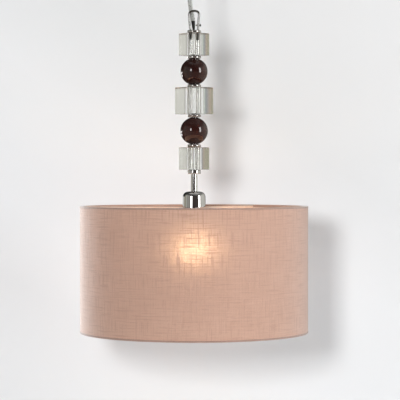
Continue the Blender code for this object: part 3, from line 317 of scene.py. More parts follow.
def arc(centre, radius, start, end, steps):
    """Points on an arc in the (radius, height) plane, from one angle to another."""
    angles = [start + (end - start) * i / steps for i in range(steps + 1)]
    return [(centre[0] + radius * math.cos(a), centre[1] + radius * math.sin(a)) for a in angles]


def tube_outline(outer, bore, top, bottom):
    """Section of a plain ring or tube."""
    return [(outer, top), (outer, bottom), (bore, bottom), (bore, top)]


def disc_outline(radius, bore, top, bottom):
    """Section of a disc with a full round edge."""
    half = (top - bottom) / 2
    rounded = arc((radius - half, bottom + half), half, QUARTER, -QUARTER, DISC_EDGE_STEPS)
    return [*rounded, *softened([(bore, bottom), (bore, top)], closed=False)]


def smooth_path(route, pitch):
    """Points about one pitch apart on the natural cubic spline through the route's points."""
    knots = numpy.array([tuple(p) for p in route])
    gaps = numpy.linalg.norm(numpy.diff(knots, axis=0), axis=1)
    along = numpy.concatenate(([0.0], numpy.cumsum(gaps)))
    count = len(knots)
    matrix = numpy.eye(count)
    right = numpy.zeros((count, knots.shape[1]))
    for i in range(1, count - 1):
        before, after = along[i] - along[i - 1], along[i + 1] - along[i]
        matrix[i, i - 1 : i + 2] = before, 2 * (before + after), after
        right[i] = 6 * ((knots[i + 1] - knots[i]) / after - (knots[i] - knots[i - 1]) / before)
    bend = numpy.linalg.solve(matrix, right)
    found = []
    for station in numpy.linspace(0.0, along[-1], int(round(along[-1] / pitch)) + 1):
        i = min(int(numpy.searchsorted(along, station, side="right")) - 1, count - 2)
        step, left = along[i + 1] - along[i], station - along[i]
        rest = step - left
        curved = (bend[i] * rest**3 + bend[i + 1] * left**3) / (6 * step)
        straight = (knots[i] / step - bend[i] * step / 6) * rest
        straight += (knots[i + 1] / step - bend[i + 1] * step / 6) * left
        found.append(Vector(curved + straight))
    return found


def pipe(name, points, diameter, taper=None, cyclic=False, resolution=6):
    """A round wire or cord along points."""
    curve = bpy.data.curves.new(name, "CURVE")
    curve.dimensions = "3D"
    curve.bevel_depth = diameter / 2
    curve.bevel_resolution = resolution
    curve.use_fill_caps = not cyclic
    spline = curve.splines.new("POLY")
    spline.use_cyclic_u = cyclic
    spline.points.add(len(points) - 1)
    for index, place in enumerate(points):
        spline.points[index].co = (*place, 1.0)
        if taper is not None:
            spline.points[index].radius = taper[index]
    return curve


def glass_cube(name, half_width, top, bottom, turn):
    """A cube with bevelled edges, faintly bulging sides and a ground bore, its second material."""
    rim = []
    for side in range(4):
        for i in range(CUBE_SIDE_STEPS + 1):
            share = 2 * i / CUBE_SIDE_STEPS - 1
            out = half_width + CUBE_BULGE * (1 - share * share)
            spot = Vector((out, share * (half_width - CUBE_EDGE)))
            rim.append(Matrix.Rotation(turn + side * QUARTER, 2) @ spot)
    inset = 1 - CUBE_EDGE / half_width
    outlines = []
    sides = ((inset, top), (1, top - CUBE_EDGE), (1, bottom + CUBE_EDGE), (inset, bottom))
    for scale, level in ((None, bottom), (None, top), *sides):
        reached = [spot.normalized() * BEAD_BORE if scale is None else spot * scale for spot in rim]
        outlines.append([(spot.x, spot.y, level) for spot in reached])
    points = [point for ring in outlines for point in ring]
    steps = len(rim)
    rings = [list(range(k * steps, (k + 1) * steps)) for k in range(len(outlines))]
    mesh = mesh_of(name, points, ring_faces(list(zip(rings, rings[1:] + rings[:1])), steps))
    for polygon in mesh.polygons[:steps]:
        polygon.material_index = 1
    return mesh


def top_of(node):
    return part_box(node)[1].z


def bottom_of(node):
    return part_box(node)[0].z


def reach_of(node):
    """Half of a round node's width."""
    low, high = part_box(node)
    return (high.x - low.x) / 2


def extent(node):
    """A round node's radius, top and bottom."""
    return reach_of(node), top_of(node), bottom_of(node)


def slot_of(node):
    """The record's material slot of a CAD node."""
    return frame["nodes"][node].data.materials[0].name


def new_object(name, data):
    obj = bpy.data.objects.new(name, data)
    bpy.context.scene.collection.objects.link(obj)
    return obj


def piece(name, data, body, material):
    """A shown object on a CAD body."""
    obj = new_object(name, data)
    data.materials.append(material)
    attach(obj, body)
    return obj


def dress(name, node, data, material=None):
    """A shown object that stands for a CAD node, on its body and in its finish."""
    slot = slot_of(node)
    obj = piece(name, data, frame["nodes"][node]["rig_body"], material or FINISHES[slot])
    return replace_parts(obj, node)


# Materials


def add(tree, kind, inputs=None, **settings):
    """Adds a shader node. inputs maps a socket to a value or to the output that feeds it."""
    made = tree.nodes.new("ShaderNode" + kind)
    for key, value in settings.items():
        setattr(made, key, value)
    for socket, value in (inputs or {}).items():
        if isinstance(value, bpy.types.NodeSocket):
            tree.links.new(value, made.inputs[socket])
        else:
            made.inputs[socket].default_value = value
    return made


def surface(name, constants):
    """A new material, its node tree and its Principled shader with some sockets set."""
    material = bpy.data.materials.new(name)
    material.use_nodes = True
    tree = material.node_tree
    shader = tree.nodes["Principled BSDF"]
    for socket, value in constants.items():
        shader.inputs[socket].default_value = value
    return material, tree, shader


def coordinates(tree, scale=(1.0, 1.0, 1.0)):
    """Places on the object in metres, stretched by scale."""
    place = add(tree, "TexCoord").outputs["Object"]
    return add(tree, "Mapping", {"Vector": place, "Scale": scale}).outputs[0]


def noise(tree, vector, scale, detail=3.0, roughness=0.5):
    inputs = {"Vector": vector, "Scale": scale, "Detail": detail, "Roughness": roughness}
    return add(tree, "TexNoise", inputs).outputs[0]


def spread(tree, value, low, high, start=0.0, end=1.0):
    """value from start to end becomes low to high, and stays there beyond them."""
    inputs = {"Value": value, "From Min": start, "From Max": end, "To Min": low, "To Max": high}
    return add(tree, "MapRange", inputs).outputs[0]


def ramp(tree, value, stops):
    """Colours along a value from 0 to 1: stops holds (position, (r, g, b)) pairs."""
    made = add(tree, "ValToRGB", {"Fac": value})
    elements = made.color_ramp.elements
    while len(elements) < len(stops):
        elements.new(0.5)
    for element, (position, colour) in zip(elements, stops):
        element.position = position
        element.color = (*colour, 1.0)
    return made.outputs["Color"]


def blended(tree, share, first, second, blend_type="MIX"):
    """One colour over another. The second is a colour or an output."""
    colour = second if isinstance(second, bpy.types.NodeSocket) else (*second, 1.0)
    inputs = {0: share, 6: first, 7: colour}
    return add(tree, "Mix", inputs, data_type="RGBA", blend_type=blend_type).outputs[2]


def math_node(tree, operation, *values):
    return add(tree, "Math", dict(enumerate(values)), operation=operation).outputs[0]


def plus(tree, first, second):
    return math_node(tree, "ADD", first, second)


def times(tree, first, second):
    return math_node(tree, "MULTIPLY", first, second)


def feed(shader, socket, output):
    """Links an output to a socket of a shader."""
    shader.id_data.links.new(output, shader.inputs[socket])


def mixed_shaders(tree, share, first, second):
    inputs = {0: share, 1: first.outputs[0], 2: second.outputs[0]}
    return add(tree, "MixShader", inputs)


def relief(tree, shader, height, strength, distance):
    bump = add(tree, "Bump", {"Height": height, "Strength": strength, "Distance": distance})
    feed(shader, "Normal", bump.outputs["Normal"])


def metal(name, colour, shade, roughness, grain, relief_depth, patch=40.0):
    """Metal with faint patches of tone, a worn-in roughness and a fine grain."""
    material, tree, shader = surface(name, {"Metallic": 1.0})
    place = coordinates(tree)
    tone = noise(tree, place, patch, detail=4.0)
    feed(shader, "Base Color", ramp(tree, tone, [(0.3, shade), (0.7, colour)]))
    rub = noise(tree, place, patch * 9, detail=5.0, roughness=0.6)
    feed(shader, "Roughness", spread(tree, rub, *roughness, start=0.3, end=0.7))
    relief(tree, shader, noise(tree, place, grain, detail=2.0), 0.25, relief_depth)
    return material


def moulded(name, colour, shade, roughness, grain=2500.0, constants=None):
    """Moulded plastic, rubber or fired clay with slight mottling and a fine tooth."""
    material, tree, shader = surface(name, constants or {})
    place = coordinates(tree)
    tone = noise(tree, place, 120.0, detail=3.0)
    feed(shader, "Base Color", ramp(tree, tone, [(0.25, shade), (0.75, colour)]))
    rub = noise(tree, place, 300.0)
    feed(shader, "Roughness", spread(tree, rub, *roughness, start=0.3, end=0.7))
    relief(tree, shader, noise(tree, place, grain, detail=2.0), 0.4, 0.00004)
    return material


def glass(name, colour, shade, ior, transmission=1.0, stretch=(1.0, 1.0, 0.12), haze=(0.0, 0.02)):
    """Solid glass with faint tone, a trace of haze and a slow ripple, drawn out along the column."""
    material, tree, shader = surface(name, {"Transmission Weight": transmission, "IOR": ior})
    place = coordinates(tree, stretch)
    tone = noise(tree, place, 22.0, detail=2.0)
    feed(shader, "Base Color", ramp(tree, tone, [(0.3, shade), (0.7, colour)]))
    cloud = noise(tree, place, 260.0, detail=4.0)
    feed(shader, "Roughness", spread(tree, cloud, *haze, start=0.40, end=0.75))
    relief(tree, shader, noise(tree, place, 70.0, detail=0.0), 0.5, 0.00001)
    return material


def make_linen(name="linen", tint=(1.0, 1.0, 1.0), passing=0.16):
    """Slubby linen. Thick threads run both ways, and passing is how much light it lets through."""
    constants = {"Roughness": 0.52, "IOR": 1.45, "Specular IOR Level": 0.3}
    constants |= {"Sheen Weight": 0.50, "Sheen Roughness": 0.45}
    material, tree, shader = surface(name, constants)
    cloth = add(tree, "UVMap", uv_map="cloth").outputs[0]

    def threads(scale, detail):
        """Streaks of the cloth, as many to the metre along and down it as scale says."""
        stretched = add(tree, "Mapping", {"Vector": cloth, "Scale": (*scale, 1.0)}).outputs[0]
        return noise(tree, stretched, 1.0, detail=detail, roughness=0.6)

    def slubs(scale):
        """Sparse thick threads: 1 on a slub and 0 between them."""
        return spread(tree, threads(scale, 0.0), 0.0, 1.0, start=0.62, end=0.66)

    warp = threads((420.0, 16.0), 3.0)
    weft = threads((18.0, 460.0), 3.0)
    weave = plus(tree, threads((1900.0, 260.0), 1.0), threads((260.0, 1900.0), 1.0))
    thick = math_node(tree, "MAXIMUM", slubs((340.0, 26.0)), slubs((24.0, 360.0)))
    patch = threads((14.0, 14.0), 2.0)

    tone = times(tree, plus(tree, warp, weft), 0.34)
    for part, share in ((weave, 0.10), (patch, 0.12), (thick, -0.07)):
        tone = plus(tree, tone, times(tree, part, share))
    colours = [
        (0.38, (0.485, 0.298, 0.225)),
        (0.46, (0.545, 0.340, 0.258)),
        (0.54, (0.585, 0.370, 0.284)),
        (0.62, (0.630, 0.410, 0.320)),
    ]
    stops = [(place, tuple(a * b for a, b in zip(colour, tint))) for place, colour in colours]
    feed(shader, "Base Color", ramp(tree, tone, stops))
    relief(tree, shader, plus(tree, plus(tree, warp, weft), weave), 0.5, 0.0004)

    open_weave = spread(tree, tone, 0.75 * passing, 1.25 * passing, start=0.40, end=0.60)
    blocked = math_node(tree, "SUBTRACT", 1.0, times(tree, thick, 0.75))
    feed(shader, "Transmission Weight", times(tree, open_weave, blocked))
    return material


def make_liner():
    """Styrene backing of the cloth. Light of the bulb goes on through it to the linen."""
    material, tree, shader = surface("liner", {"IOR": 1.5, "Roughness": 0.55})
    place = coordinates(tree)
    tone = noise(tree, place, 60.0, detail=4.0)
    stops = [(0.3, (0.88, 0.66, 0.52)), (0.7, (0.94, 0.72, 0.575))]
    feed(shader, "Base Color", ramp(tree, tone, stops))
    relief(tree, shader, noise(tree, place, 900.0), 0.3, 0.0001)
    passing = add(tree, "BsdfTransparent", {"Color": (0.96, 0.86, 0.72, 1.0)})
    path = add(tree, "LightPath")
    through = math_node(tree, "MAXIMUM", path.outputs["Is Shadow Ray"], path.outputs["Is Transmission Ray"])
    share = times(tree, through, LINER_PASSES)
    mixed = mixed_shaders(tree, share, shader, passing)
    feed(tree.nodes["Material Output"], "Surface", mixed.outputs[0])
    return material


def make_bulb_surface():
    """Lit opal glass. The camera and mirrors see a plain warm glow, and the shade gets the full light."""
    constants = {"Roughness": 0.2, "IOR": 1.5, "Base Color": (0.9, 0.88, 0.82, 1.0)}
    material, tree, shader = surface("lit_opal_glass", constants)
    place = coordinates(tree)
    cloud = noise(tree, place, 50.0, detail=2.0)
    facing = add(tree, "LayerWeight", {"Blend": 0.5}).outputs["Facing"]
    plain = ramp(tree, facing, [(0.0, (1.0, 0.80, 0.54)), (0.8, (1.0, 0.66, 0.38))])
    stops = [
        (0.0, (1.0, 0.96, 0.97)),
        (0.13, (0.76, 0.62, 0.38)),
        (0.30, (0.48, 0.33, 0.14)),
        (0.60, (0.22, 0.13, 0.045)),
        (1.0, (0.10, 0.05, 0.02)),
    ]
    hot = ramp(tree, facing, stops)
    path = add(tree, "LightPath")
    glossy, passed = path.outputs["Is Glossy Ray"], path.outputs["Is Transmission Ray"]
    mirrored = math_node(tree, "GREATER_THAN", glossy, passed)
    seen = math_node(tree, "MAXIMUM", path.outputs["Is Camera Ray"], mirrored)
    feed(shader, "Emission Color", blended(tree, seen, hot, plain))
    level = spread(tree, cloud, 0.92, 1.04, start=0.3, end=0.7)
    height = add(tree, "SeparateXYZ", {0: place}).outputs["Z"]
    level = times(tree, level, spread(tree, height, 1.0, BULB_NECK_SHARE, *BULB_FADE))
    strength = times(tree, level, spread(tree, seen, BULB_LEVEL, BULB_SEEN_LEVEL))
    feed(shader, "Emission Strength", strength)
    relief(tree, shader, noise(tree, place, 400.0), 0.1, 0.00005)
    material.cycles.emission_sampling = "FRONT"
    return material


def make_finishes():
    """A procedural material for each material slot of the record, and for four kinds of detail."""
    cord_jacket = moulded(
        "cord_jacket",
        (0.77, 0.78, 0.745),
        (0.70, 0.71, 0.68),
        (0.25, 0.38),
        grain=500.0,
        constants={"Transmission Weight": 0.60, "IOR": 1.35},
    )
    chrome = metal("chrome", (0.74, 0.735, 0.73), (0.66, 0.655, 0.65), (0.015, 0.05), 1800.0, 0.000001)
    steel = metal("zinc_steel", (0.62, 0.62, 0.60), (0.46, 0.46, 0.46), (0.22, 0.42), 1500.0, 0.00003, 90.0)
    wire = metal("drawn_wire", (0.36, 0.36, 0.35), (0.26, 0.26, 0.26), (0.05, 0.10), 900.0, 0.00002, 120.0)
    iron = metal("black_steel", (0.20, 0.19, 0.18), (0.07, 0.065, 0.06), (0.22, 0.40), 1500.0, 3e-5, 300.0)
    tin = metal("tinned_strand", (0.50, 0.50, 0.48), (0.30, 0.30, 0.29), (0.30, 0.50), 2500.0, 3e-5, 200.0)
    brass = metal("brass", (0.75, 0.56, 0.27), (0.60, 0.40, 0.17), (0.16, 0.34), 1500.0, 0.00002, 80.0)
    ground = glass("ground_glass", (0.95, 0.955, 0.94), (0.90, 0.91, 0.89), 1.5, haze=(0.25, 0.40))
    brown_glass = glass(
        "brown_glass",
        (0.042, 0.009, 0.006),
        (0.022, 0.005, 0.004),
        1.62,
        transmission=0.3,
        stretch=(1.0, 1.0, 1.0),
    )
    black_plastic = moulded(
        "black_plastic",
        (0.012, 0.011, 0.011),
        (0.006, 0.006, 0.006),
        (0.42, 0.60),
        constants={"Specular IOR Level": 0.35},
    )
    return {
        "polished_chrome": chrome,
        "zinc_steel": steel,
        "black_steel": iron,
        "tinned_strand": tin,
        "brass": brass,
        "clear_glass": glass("clear_glass", (0.97, 0.975, 0.96), (0.93, 0.94, 0.92), 1.5),
        "ground_glass": ground,
        "drawn_wire": wire,
        "brown_glass": brown_glass,
        "opal_glass": make_bulb_surface(),
        "clear_plastic": cord_jacket,
        "black_plastic": black_plastic,
        "white_plastic": moulded("white_plastic", (0.82, 0.81, 0.77), (0.74, 0.73, 0.69), (0.30, 0.45)),
        "coated_wire": moulded("coated_wire", (0.84, 0.64, 0.51), (0.78, 0.58, 0.46), (0.40, 0.55)),
        "grey_rubber": moulded("grey_rubber", (0.32, 0.32, 0.31), (0.25, 0.25, 0.25), (0.50, 0.75)),
        "ceramic": moulded("ceramic", (0.86, 0.84, 0.79), (0.79, 0.77, 0.71), (0.12, 0.30)),
        "pink_beige_linen": make_linen(),
        # The hems' linen is tinted darker and greyer as painted shade of the folded edges, and lets little
        # light through
        "hem": make_linen("hem_tape_painted_shade", tint=(0.64, 0.66, 0.69), passing=0.02),
        "shade_liner": make_liner(),
        "lead_cover": moulded("lead_cover", (0.34, 0.14, 0.07), (0.26, 0.10, 0.05), (0.35, 0.55)),
    }


FINISHES = make_finishes()


# Camera and room


def make_camera():
    data = bpy.data.cameras.new("camera")
    data.lens = LENS
    data.sensor_width = SENSOR_WIDTH
    camera = new_object("camera", data)
    camera.location = CAMERA_PLACE
    camera.rotation_euler = (QUARTER + CAMERA_PITCH, 0.0, 0.0)
    bpy.context.scene.camera = camera


def direction(bearing, rise):
    """A unit direction. bearing counts from the camera's side, positive to its right."""
    flat = math.cos(rise)
    return Vector((flat * math.sin(bearing), -flat * math.cos(bearing), math.sin(rise)))


def softbox(name, bearing, rise, distance, size, power):
    """An area light that faces the lamp's middle. Polished pieces mirror the world's windows instead."""
    data = bpy.data.lights.new(name, "AREA")
    data.shape = "RECTANGLE"
    data.size, data.size_y = size
    data.energy = power
    light = new_object(name, data)
    light.location = LAMP_MIDDLE + direction(bearing, rise) * distance
    light.rotation_euler = (LAMP_MIDDLE - light.location).to_track_quat("-Z", "Y").to_euler()
    light.visible_camera = False
    light.visible_glossy = False
    light.visible_transmission = False


def make_backdrop():
    """A pale wall that sweeps down into the floor. Seen from behind it is clear."""
    start = WALL_PLACE - COVE_RADIUS
    sweep = [(FLOOR_FRONT, FLOOR_LEVEL), (start, FLOOR_LEVEL)]
    sweep += arc((start, FLOOR_LEVEL + COVE_RADIUS), COVE_RADIUS, -QUARTER, 0.0, COVE_STEPS)[1:]
    sweep.append((WALL_PLACE, WALL_TOP))
    points = [(side * BACKDROP_HALF, y, z) for y, z in sweep for side in (-1, 1)]
    faces = [(2 * i, 2 * i + 1, 2 * i + 3, 2 * i + 2) for i in range(len(sweep) - 1)]
    mesh = bpy.data.meshes.new("backdrop")
    mesh.from_pydata(points, [], faces)
    mesh.shade_smooth()
    backdrop = new_object("backdrop", mesh)
    backdrop.visible_glossy = False
    backdrop.visible_transmission = False
    backdrop.visible_shadow = False

    # Painted light and shade: the paint's tone follows how the photograph's wall was lit, from its lower
    # left to its upper right, and is a little blue against the warm light that the shade throws back
    material, tree, shader = surface("backdrop_painted_light", {"Roughness": 0.9, "Specular IOR Level": 0.1})
    place = coordinates(tree)
    axes = add(tree, "SeparateXYZ", {0: place})
    painted_light_slope = plus(tree, axes.outputs["X"], times(tree, axes.outputs["Z"], 1.5))
    tone = plus(tree, painted_light_slope, times(tree, noise(tree, place, 2.0), 0.05))
    stops = [
        (0.0, (0.840, 0.857, 0.870)),
        (0.12, (0.824, 0.840, 0.853)),
        (0.25, (0.868, 0.890, 0.908)),
        (0.5, (0.885, 0.900, 0.912)),
        (0.68, (0.835, 0.850, 0.858)),
        (1.0, (0.878, 0.886, 0.892)),
    ]
    tone = spread(tree, tone, 0.0, 1.0, start=-1.5, end=0.3)
    feed(shader, "Base Color", ramp(tree, tone, stops))
    seen = add(tree, "LightPath").outputs["Is Camera Ray"]

    # To the camera the floor turns into the pale paper, and the wall's back is clear
    paper = add(tree, "Emission", {"Color": PAPER})
    low = times(tree, seen, spread(tree, axes.outputs["Z"], 0.75, 0.0, start=-1.5, end=-1.0))
    pale = mixed_shaders(tree, low, shader, paper)
    behind = times(tree, seen, add(tree, "NewGeometry").outputs["Backfacing"])
    mixed = mixed_shaders(tree, behind, pale, add(tree, "BsdfTransparent"))
    feed(tree.nodes["Material Output"], "Surface", mixed.outputs[0])
    mesh.materials.append(material)


def window(tree, sight, bearing, rise, width, height):
    """A bright rectangle of the mirrored room, as its strength for each direction."""
    axis = direction(bearing, rise)
    side = Vector((math.cos(bearing), math.sin(bearing), 0.0))
    over = side.cross(axis)
    ahead = dot(tree, sight, axis)
    inside = math_node(tree, "GREATER_THAN", ahead, 0.0)
    for way, size in ((side, width), (over, height)):
        offset = math_node(tree, "ABSOLUTE", math_node(tree, "DIVIDE", dot(tree, sight, way), ahead))
        edge = math.tan(size / 2)
        fade = spread(tree, offset, 1.0, 0.0, start=0.95 * edge, end=1.05 * edge)
        inside = times(tree, inside, fade)
    return times(tree, inside, WINDOW_LEVEL)


def dot(tree, vector, axis):
    made = add(tree, "VectorMath", {0: vector, 1: tuple(axis)}, operation="DOT_PRODUCT")
    return made.outputs["Value"]


def around_lamp(tree, around, marks):
    """Colours around the lamp: marks holds (bearing in degrees, colour or grey) pairs, -180 to 180."""
    stops = []
    for bearing, tone in marks:
        stops.append(((bearing + 180) / 360, tone if isinstance(tone, tuple) else (tone, tone, tone)))
    return ramp(tree, around, stops)


def make_world():
    """Pale behind the lamp, a studio for polished pieces to mirror, and a soft fill for the rest."""
    world = bpy.data.worlds.new("room")
    world.use_nodes = True
    bpy.context.scene.world = world
    tree = world.node_tree
    sight = add(tree, "TexCoord").outputs["Generated"]
    axes = add(tree, "SeparateXYZ", {0: sight})
    toward = times(tree, axes.outputs["Y"], -1.0)
    bearing = math_node(tree, "ARCTAN2", axes.outputs["X"], toward)
    around = spread(tree, bearing, 0.0, 1.0, start=-math.pi, end=math.pi)

    marks = [
        (-180, 0.04),
        (-80, (0.115, 0.11, 0.11)),
        (-20, (0.125, 0.12, 0.12)),
        (20, 0.19),
        (60, 0.31),
        (90, 0.37),
        (105, 0.48),
        (140, 0.08),
        (180, 0.04),
    ]
    fill = tree.nodes["Background"]
    feed(fill, "Color", around_lamp(tree, around, marks))

    # The mirrored room at eye level, its warmer floor and its darker ceiling
    marks = [
        (-180, (0.82, 0.82, 0.81)),
        (-150, (0.80, 0.80, 0.79)),
        (-120, (0.62, 0.61, 0.58)),
        (-112, (0.35, 0.33, 0.26)),
        (-93, (0.35, 0.33, 0.25)),
        (-91, (0.43, 0.35, 0.28)),
        (-89, (0.35, 0.335, 0.34)),
        (-87.5, (0.245, 0.275, 0.275)),
        (-85.5, (0.62, 0.64, 0.59)),
        (-82, (0.60, 0.61, 0.56)),
        (-79, (0.34, 0.33, 0.30)),
        (-47, (0.34, 0.33, 0.30)),
        (-44, (0.30, 0.29, 0.28)),
        (-24, (0.24, 0.23, 0.22)),
        (-15, (0.058, 0.048, 0.046)),
        (36, (0.058, 0.048, 0.046)),
        (66, (0.56, 0.53, 0.48)),
        (86, (0.65, 0.645, 0.60)),
        (136, (0.60, 0.58, 0.53)),
        (150, (0.14, 0.135, 0.13)),
        (164, (0.14, 0.135, 0.13)),
        (172, (0.82, 0.82, 0.81)),
        (180, (0.82, 0.82, 0.81)),
    ]
    room = around_lamp(tree, around, marks)
    rise = axes.outputs["Z"]
    room = blended(tree, spread(tree, rise, 0.5, 0.0, start=-0.055, end=-0.015), room, FLOOR_TONE)
    marks = [(-180, 0.05), (-20, 0.06), (40, (0.20, 0.20, 0.19)), (180, (0.16, 0.16, 0.15))]
    ceiling = around_lamp(tree, around, marks)
    room = blended(tree, spread(tree, rise, 0.0, 0.9, start=0.42, end=0.62), room, ceiling)
    room = blended(tree, spread(tree, rise, 0.0, 1.0, start=0.80, end=0.92), room, OVERHEAD_TONE)

    # Behind the lamp on its left, the room is dark above and below eye level
    back_left = spread(tree, around, 0.0, 1.0, start=0.03, end=0.05)
    back_left = times(tree, back_left, spread(tree, around, 1.0, 0.0, start=0.19, end=0.22))
    away = spread(tree, math_node(tree, "ABSOLUTE", rise), 0.0, 1.0, start=0.05, end=0.12)
    room = blended(tree, times(tree, back_left, away), room, BACK_LEFT_TONE)

    windows = None
    for degrees in WINDOWS:
        made = window(tree, sight, *[math.radians(value) for value in degrees])
        windows = made if windows is None else plus(tree, windows, made)
    mirrored = add(tree, "Background", {"Color": blended(tree, 1.0, room, windows, "ADD")})
    paper = add(tree, "Background", {"Color": PAPER})
    path = add(tree, "LightPath")
    bent = math_node(tree, "MAXIMUM", path.outputs["Is Glossy Ray"], path.outputs["Is Transmission Ray"])
    inner = mixed_shaders(tree, bent, fill, mirrored)
    outer = mixed_shaders(tree, path.outputs["Is Camera Ray"], inner, paper)
    feed(tree.nodes["World Output"], "Surface", outer.outputs[0])


def make_lights():
    """A small key in front that throws the shadows, a softbox on each side, and a rim light that stands
    behind the wall. Each has its bearing, rise, distance, size and power."""
    lights = (
        ("key", -8.6, 4.6, 3.0, (0.33, 0.36), 47.0),
        ("left_softbox", -33.0, 10.0, 2.2, (0.80, 0.90), 2.5),
        ("right_softbox", 72.0, 9.0, 4.5, (2.00, 3.30), 94.0),
        ("left_rim", -137.0, -8.0, 2.2, (1.15, 0.78), 52.0),
    )
    for name, bearing, rise, distance, size, power in lights:
        softbox(name, math.radians(bearing), math.radians(rise), distance, size, power)


# Cord


def make_cord():
    """Clear flexible cord with three thin leads twisted inside it, and its black sleeve."""
    lean = (SLEEVE_MOUTH - SLEEVE_TIP).normalized()
    end = SLEEVE_MOUTH + lean * FIT_GAP
    route = [CORD_TOP, *CORD_ROUTE, end + lean * CORD_DIAMETER / 2]
    points = [*smooth_path(route, CORD_POINT_PITCH), end]
    cord = dress("clear_cord", "supply_cord", pipe("clear_cord", points, CORD_DIAMETER, resolution=10))
    dense = smooth_path([*route[:-1], end - lean * LEAD_INSET], LEAD_POINT_PITCH)
    leads = [f"cord_lead_{index + 1}" for index in range(LEAD_COUNT)]
    for index, name in enumerate(leads):
        twisted = []
        for station, place in enumerate(dense):
            angle = TURN * (index / LEAD_COUNT + station * LEAD_POINT_PITCH / LEAD_LAY)
            twisted.append(place + Vector((math.cos(angle), math.sin(angle), 0.0)) * LEAD_RING_RADIUS)
        data = pipe(name, twisted, LEAD_DIAMETER, resolution=4)
        piece(name, data, "lamp", FINISHES["tinned_strand"])
    places = [SLEEVE_TIP.lerp(SLEEVE_MOUTH, i / SLEEVE_STEPS) for i in range(SLEEVE_STEPS + 1)]
    tip_share = SLEEVE_TIP_DIAMETER / SLEEVE_TOP_DIAMETER
    taper = [tip_share + (1 - tip_share) * i / SLEEVE_STEPS for i in range(SLEEVE_STEPS + 1)]
    sleeve = pipe("black_sleeve", places, SLEEVE_TOP_DIAMETER, taper, resolution=8)
    dress("black_sleeve", "cord_sleeve", sleeve)


# Column


def thread_ripple(crest, pitch, depth, top, bottom):
    """Radius of a screw thread on the faces that lie at the crest, between two levels."""

    def ripple(radius, height, angle):
        if radius < crest - SAME_RADIUS or not bottom < height < top:
            return radius
        phase = (height / pitch - angle / TURN) % 1.0
        return radius - depth * abs(2.0 * phase - 1.0)

    return ripple


def thread_side(crest, start, end, pitch, steps):
    """Outline points down the crest of a thread, as many to the pitch as steps says."""
    count = int((start - end) / pitch * steps)
    return [(crest, start + (end - start) * i / count) for i in range(count + 1)]


def threaded_nipple(name, node):
    """A nipple with a helical thread outside and a plain bore."""
    crest, top, bottom = extent(node)
    side = thread_side(crest, top, bottom, NIPPLE_PITCH, NIPPLE_PITCH_STEPS)
    step = NIPPLE_PITCH / NIPPLE_PITCH_STEPS
    ripple = thread_ripple(crest, NIPPLE_PITCH, NIPPLE_THREAD_DEPTH, top - step, bottom + step)
    return revolved(name, [*side, (NIPPLE_BORE, bottom), (NIPPLE_BORE, top)], SMALL_STEPS, ripple)


def make_loop():
    """Bent wire loop on its round-edged foot disc, with the clamp screw through its right leg."""
    foot_top = top_of("hanging_loop") - LOOP_HEIGHT
    spring = foot_top + LOOP_HEIGHT - LOOP_WIRE / 2 - LOOP_ARCH
    start = foot_top - LOOP_SINK
    points = []
    for i in range(LOOP_LEG_STEPS + 1):
        share = i / LOOP_LEG_STEPS
        across = LOOP_FOOT_HALF + (LOOP_TOP_HALF - LOOP_FOOT_HALF) * share
        points.append(Vector((-across, 0.0, start + (spring - start) * share)))
    for i in range(1, LOOP_ARCH_STEPS):
        angle = math.pi - math.pi * i / LOOP_ARCH_STEPS
        across = math.copysign(abs(math.cos(angle)) ** LOOP_SQUARE_SHARE, math.cos(angle))
        rise = math.sin(angle) ** LOOP_SQUARE_SHARE
        points.append(Vector((LOOP_TOP_HALF * across, 0.0, spring + LOOP_ARCH * rise)))
    points += [Vector((-p.x, 0.0, p.z)) for p in reversed(points[: LOOP_LEG_STEPS + 1])]
    wire = pipe("loop_wire", points, LOOP_WIRE, resolution=10)
    dress("loop_wire", "hanging_loop", wire, FINISHES["drawn_wire"])
    chrome = FINISHES["polished_chrome"]
    outline = disc_outline(reach_of("hanging_loop"), NIPPLE_HOLE, foot_top, foot_top - FOOT_THICKNESS)
    piece("loop_foot", revolved("loop_foot", outline), "lamp", chrome)

    low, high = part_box("loop_clamp_screw")
    centre = (low + high) / 2
    radius = (high.z - low.z) / 2
    half = (high.x - low.x) / 2
    ends = softened([(0.0, half), (radius, half), (radius, -half), (0.0, -half)], radius / 4)
    data = revolved("clamp_screw", ends, SMALL_STEPS)
    data.transform(Matrix.Translation(centre) @ Matrix.Rotation(QUARTER, 4, "Y"))
    dress("clamp_screw", "loop_clamp_screw", data, chrome)
    start, end = high.x + CLAMP_HEAD_LENGTH, high.x - CLAMP_HEAD_LENGTH / 4
    outline = softened(tube_outline(CLAMP_HEAD_RADIUS, radius, start, end))
    head = revolved("clamp_head", outline, SMALL_STEPS)
    head.transform(Matrix.Translation((0.0, centre.y, centre.z)) @ Matrix.Rotation(QUARTER, 4, "Y"))
    piece("clamp_head", head, "lamp", FINISHES["black_plastic"])


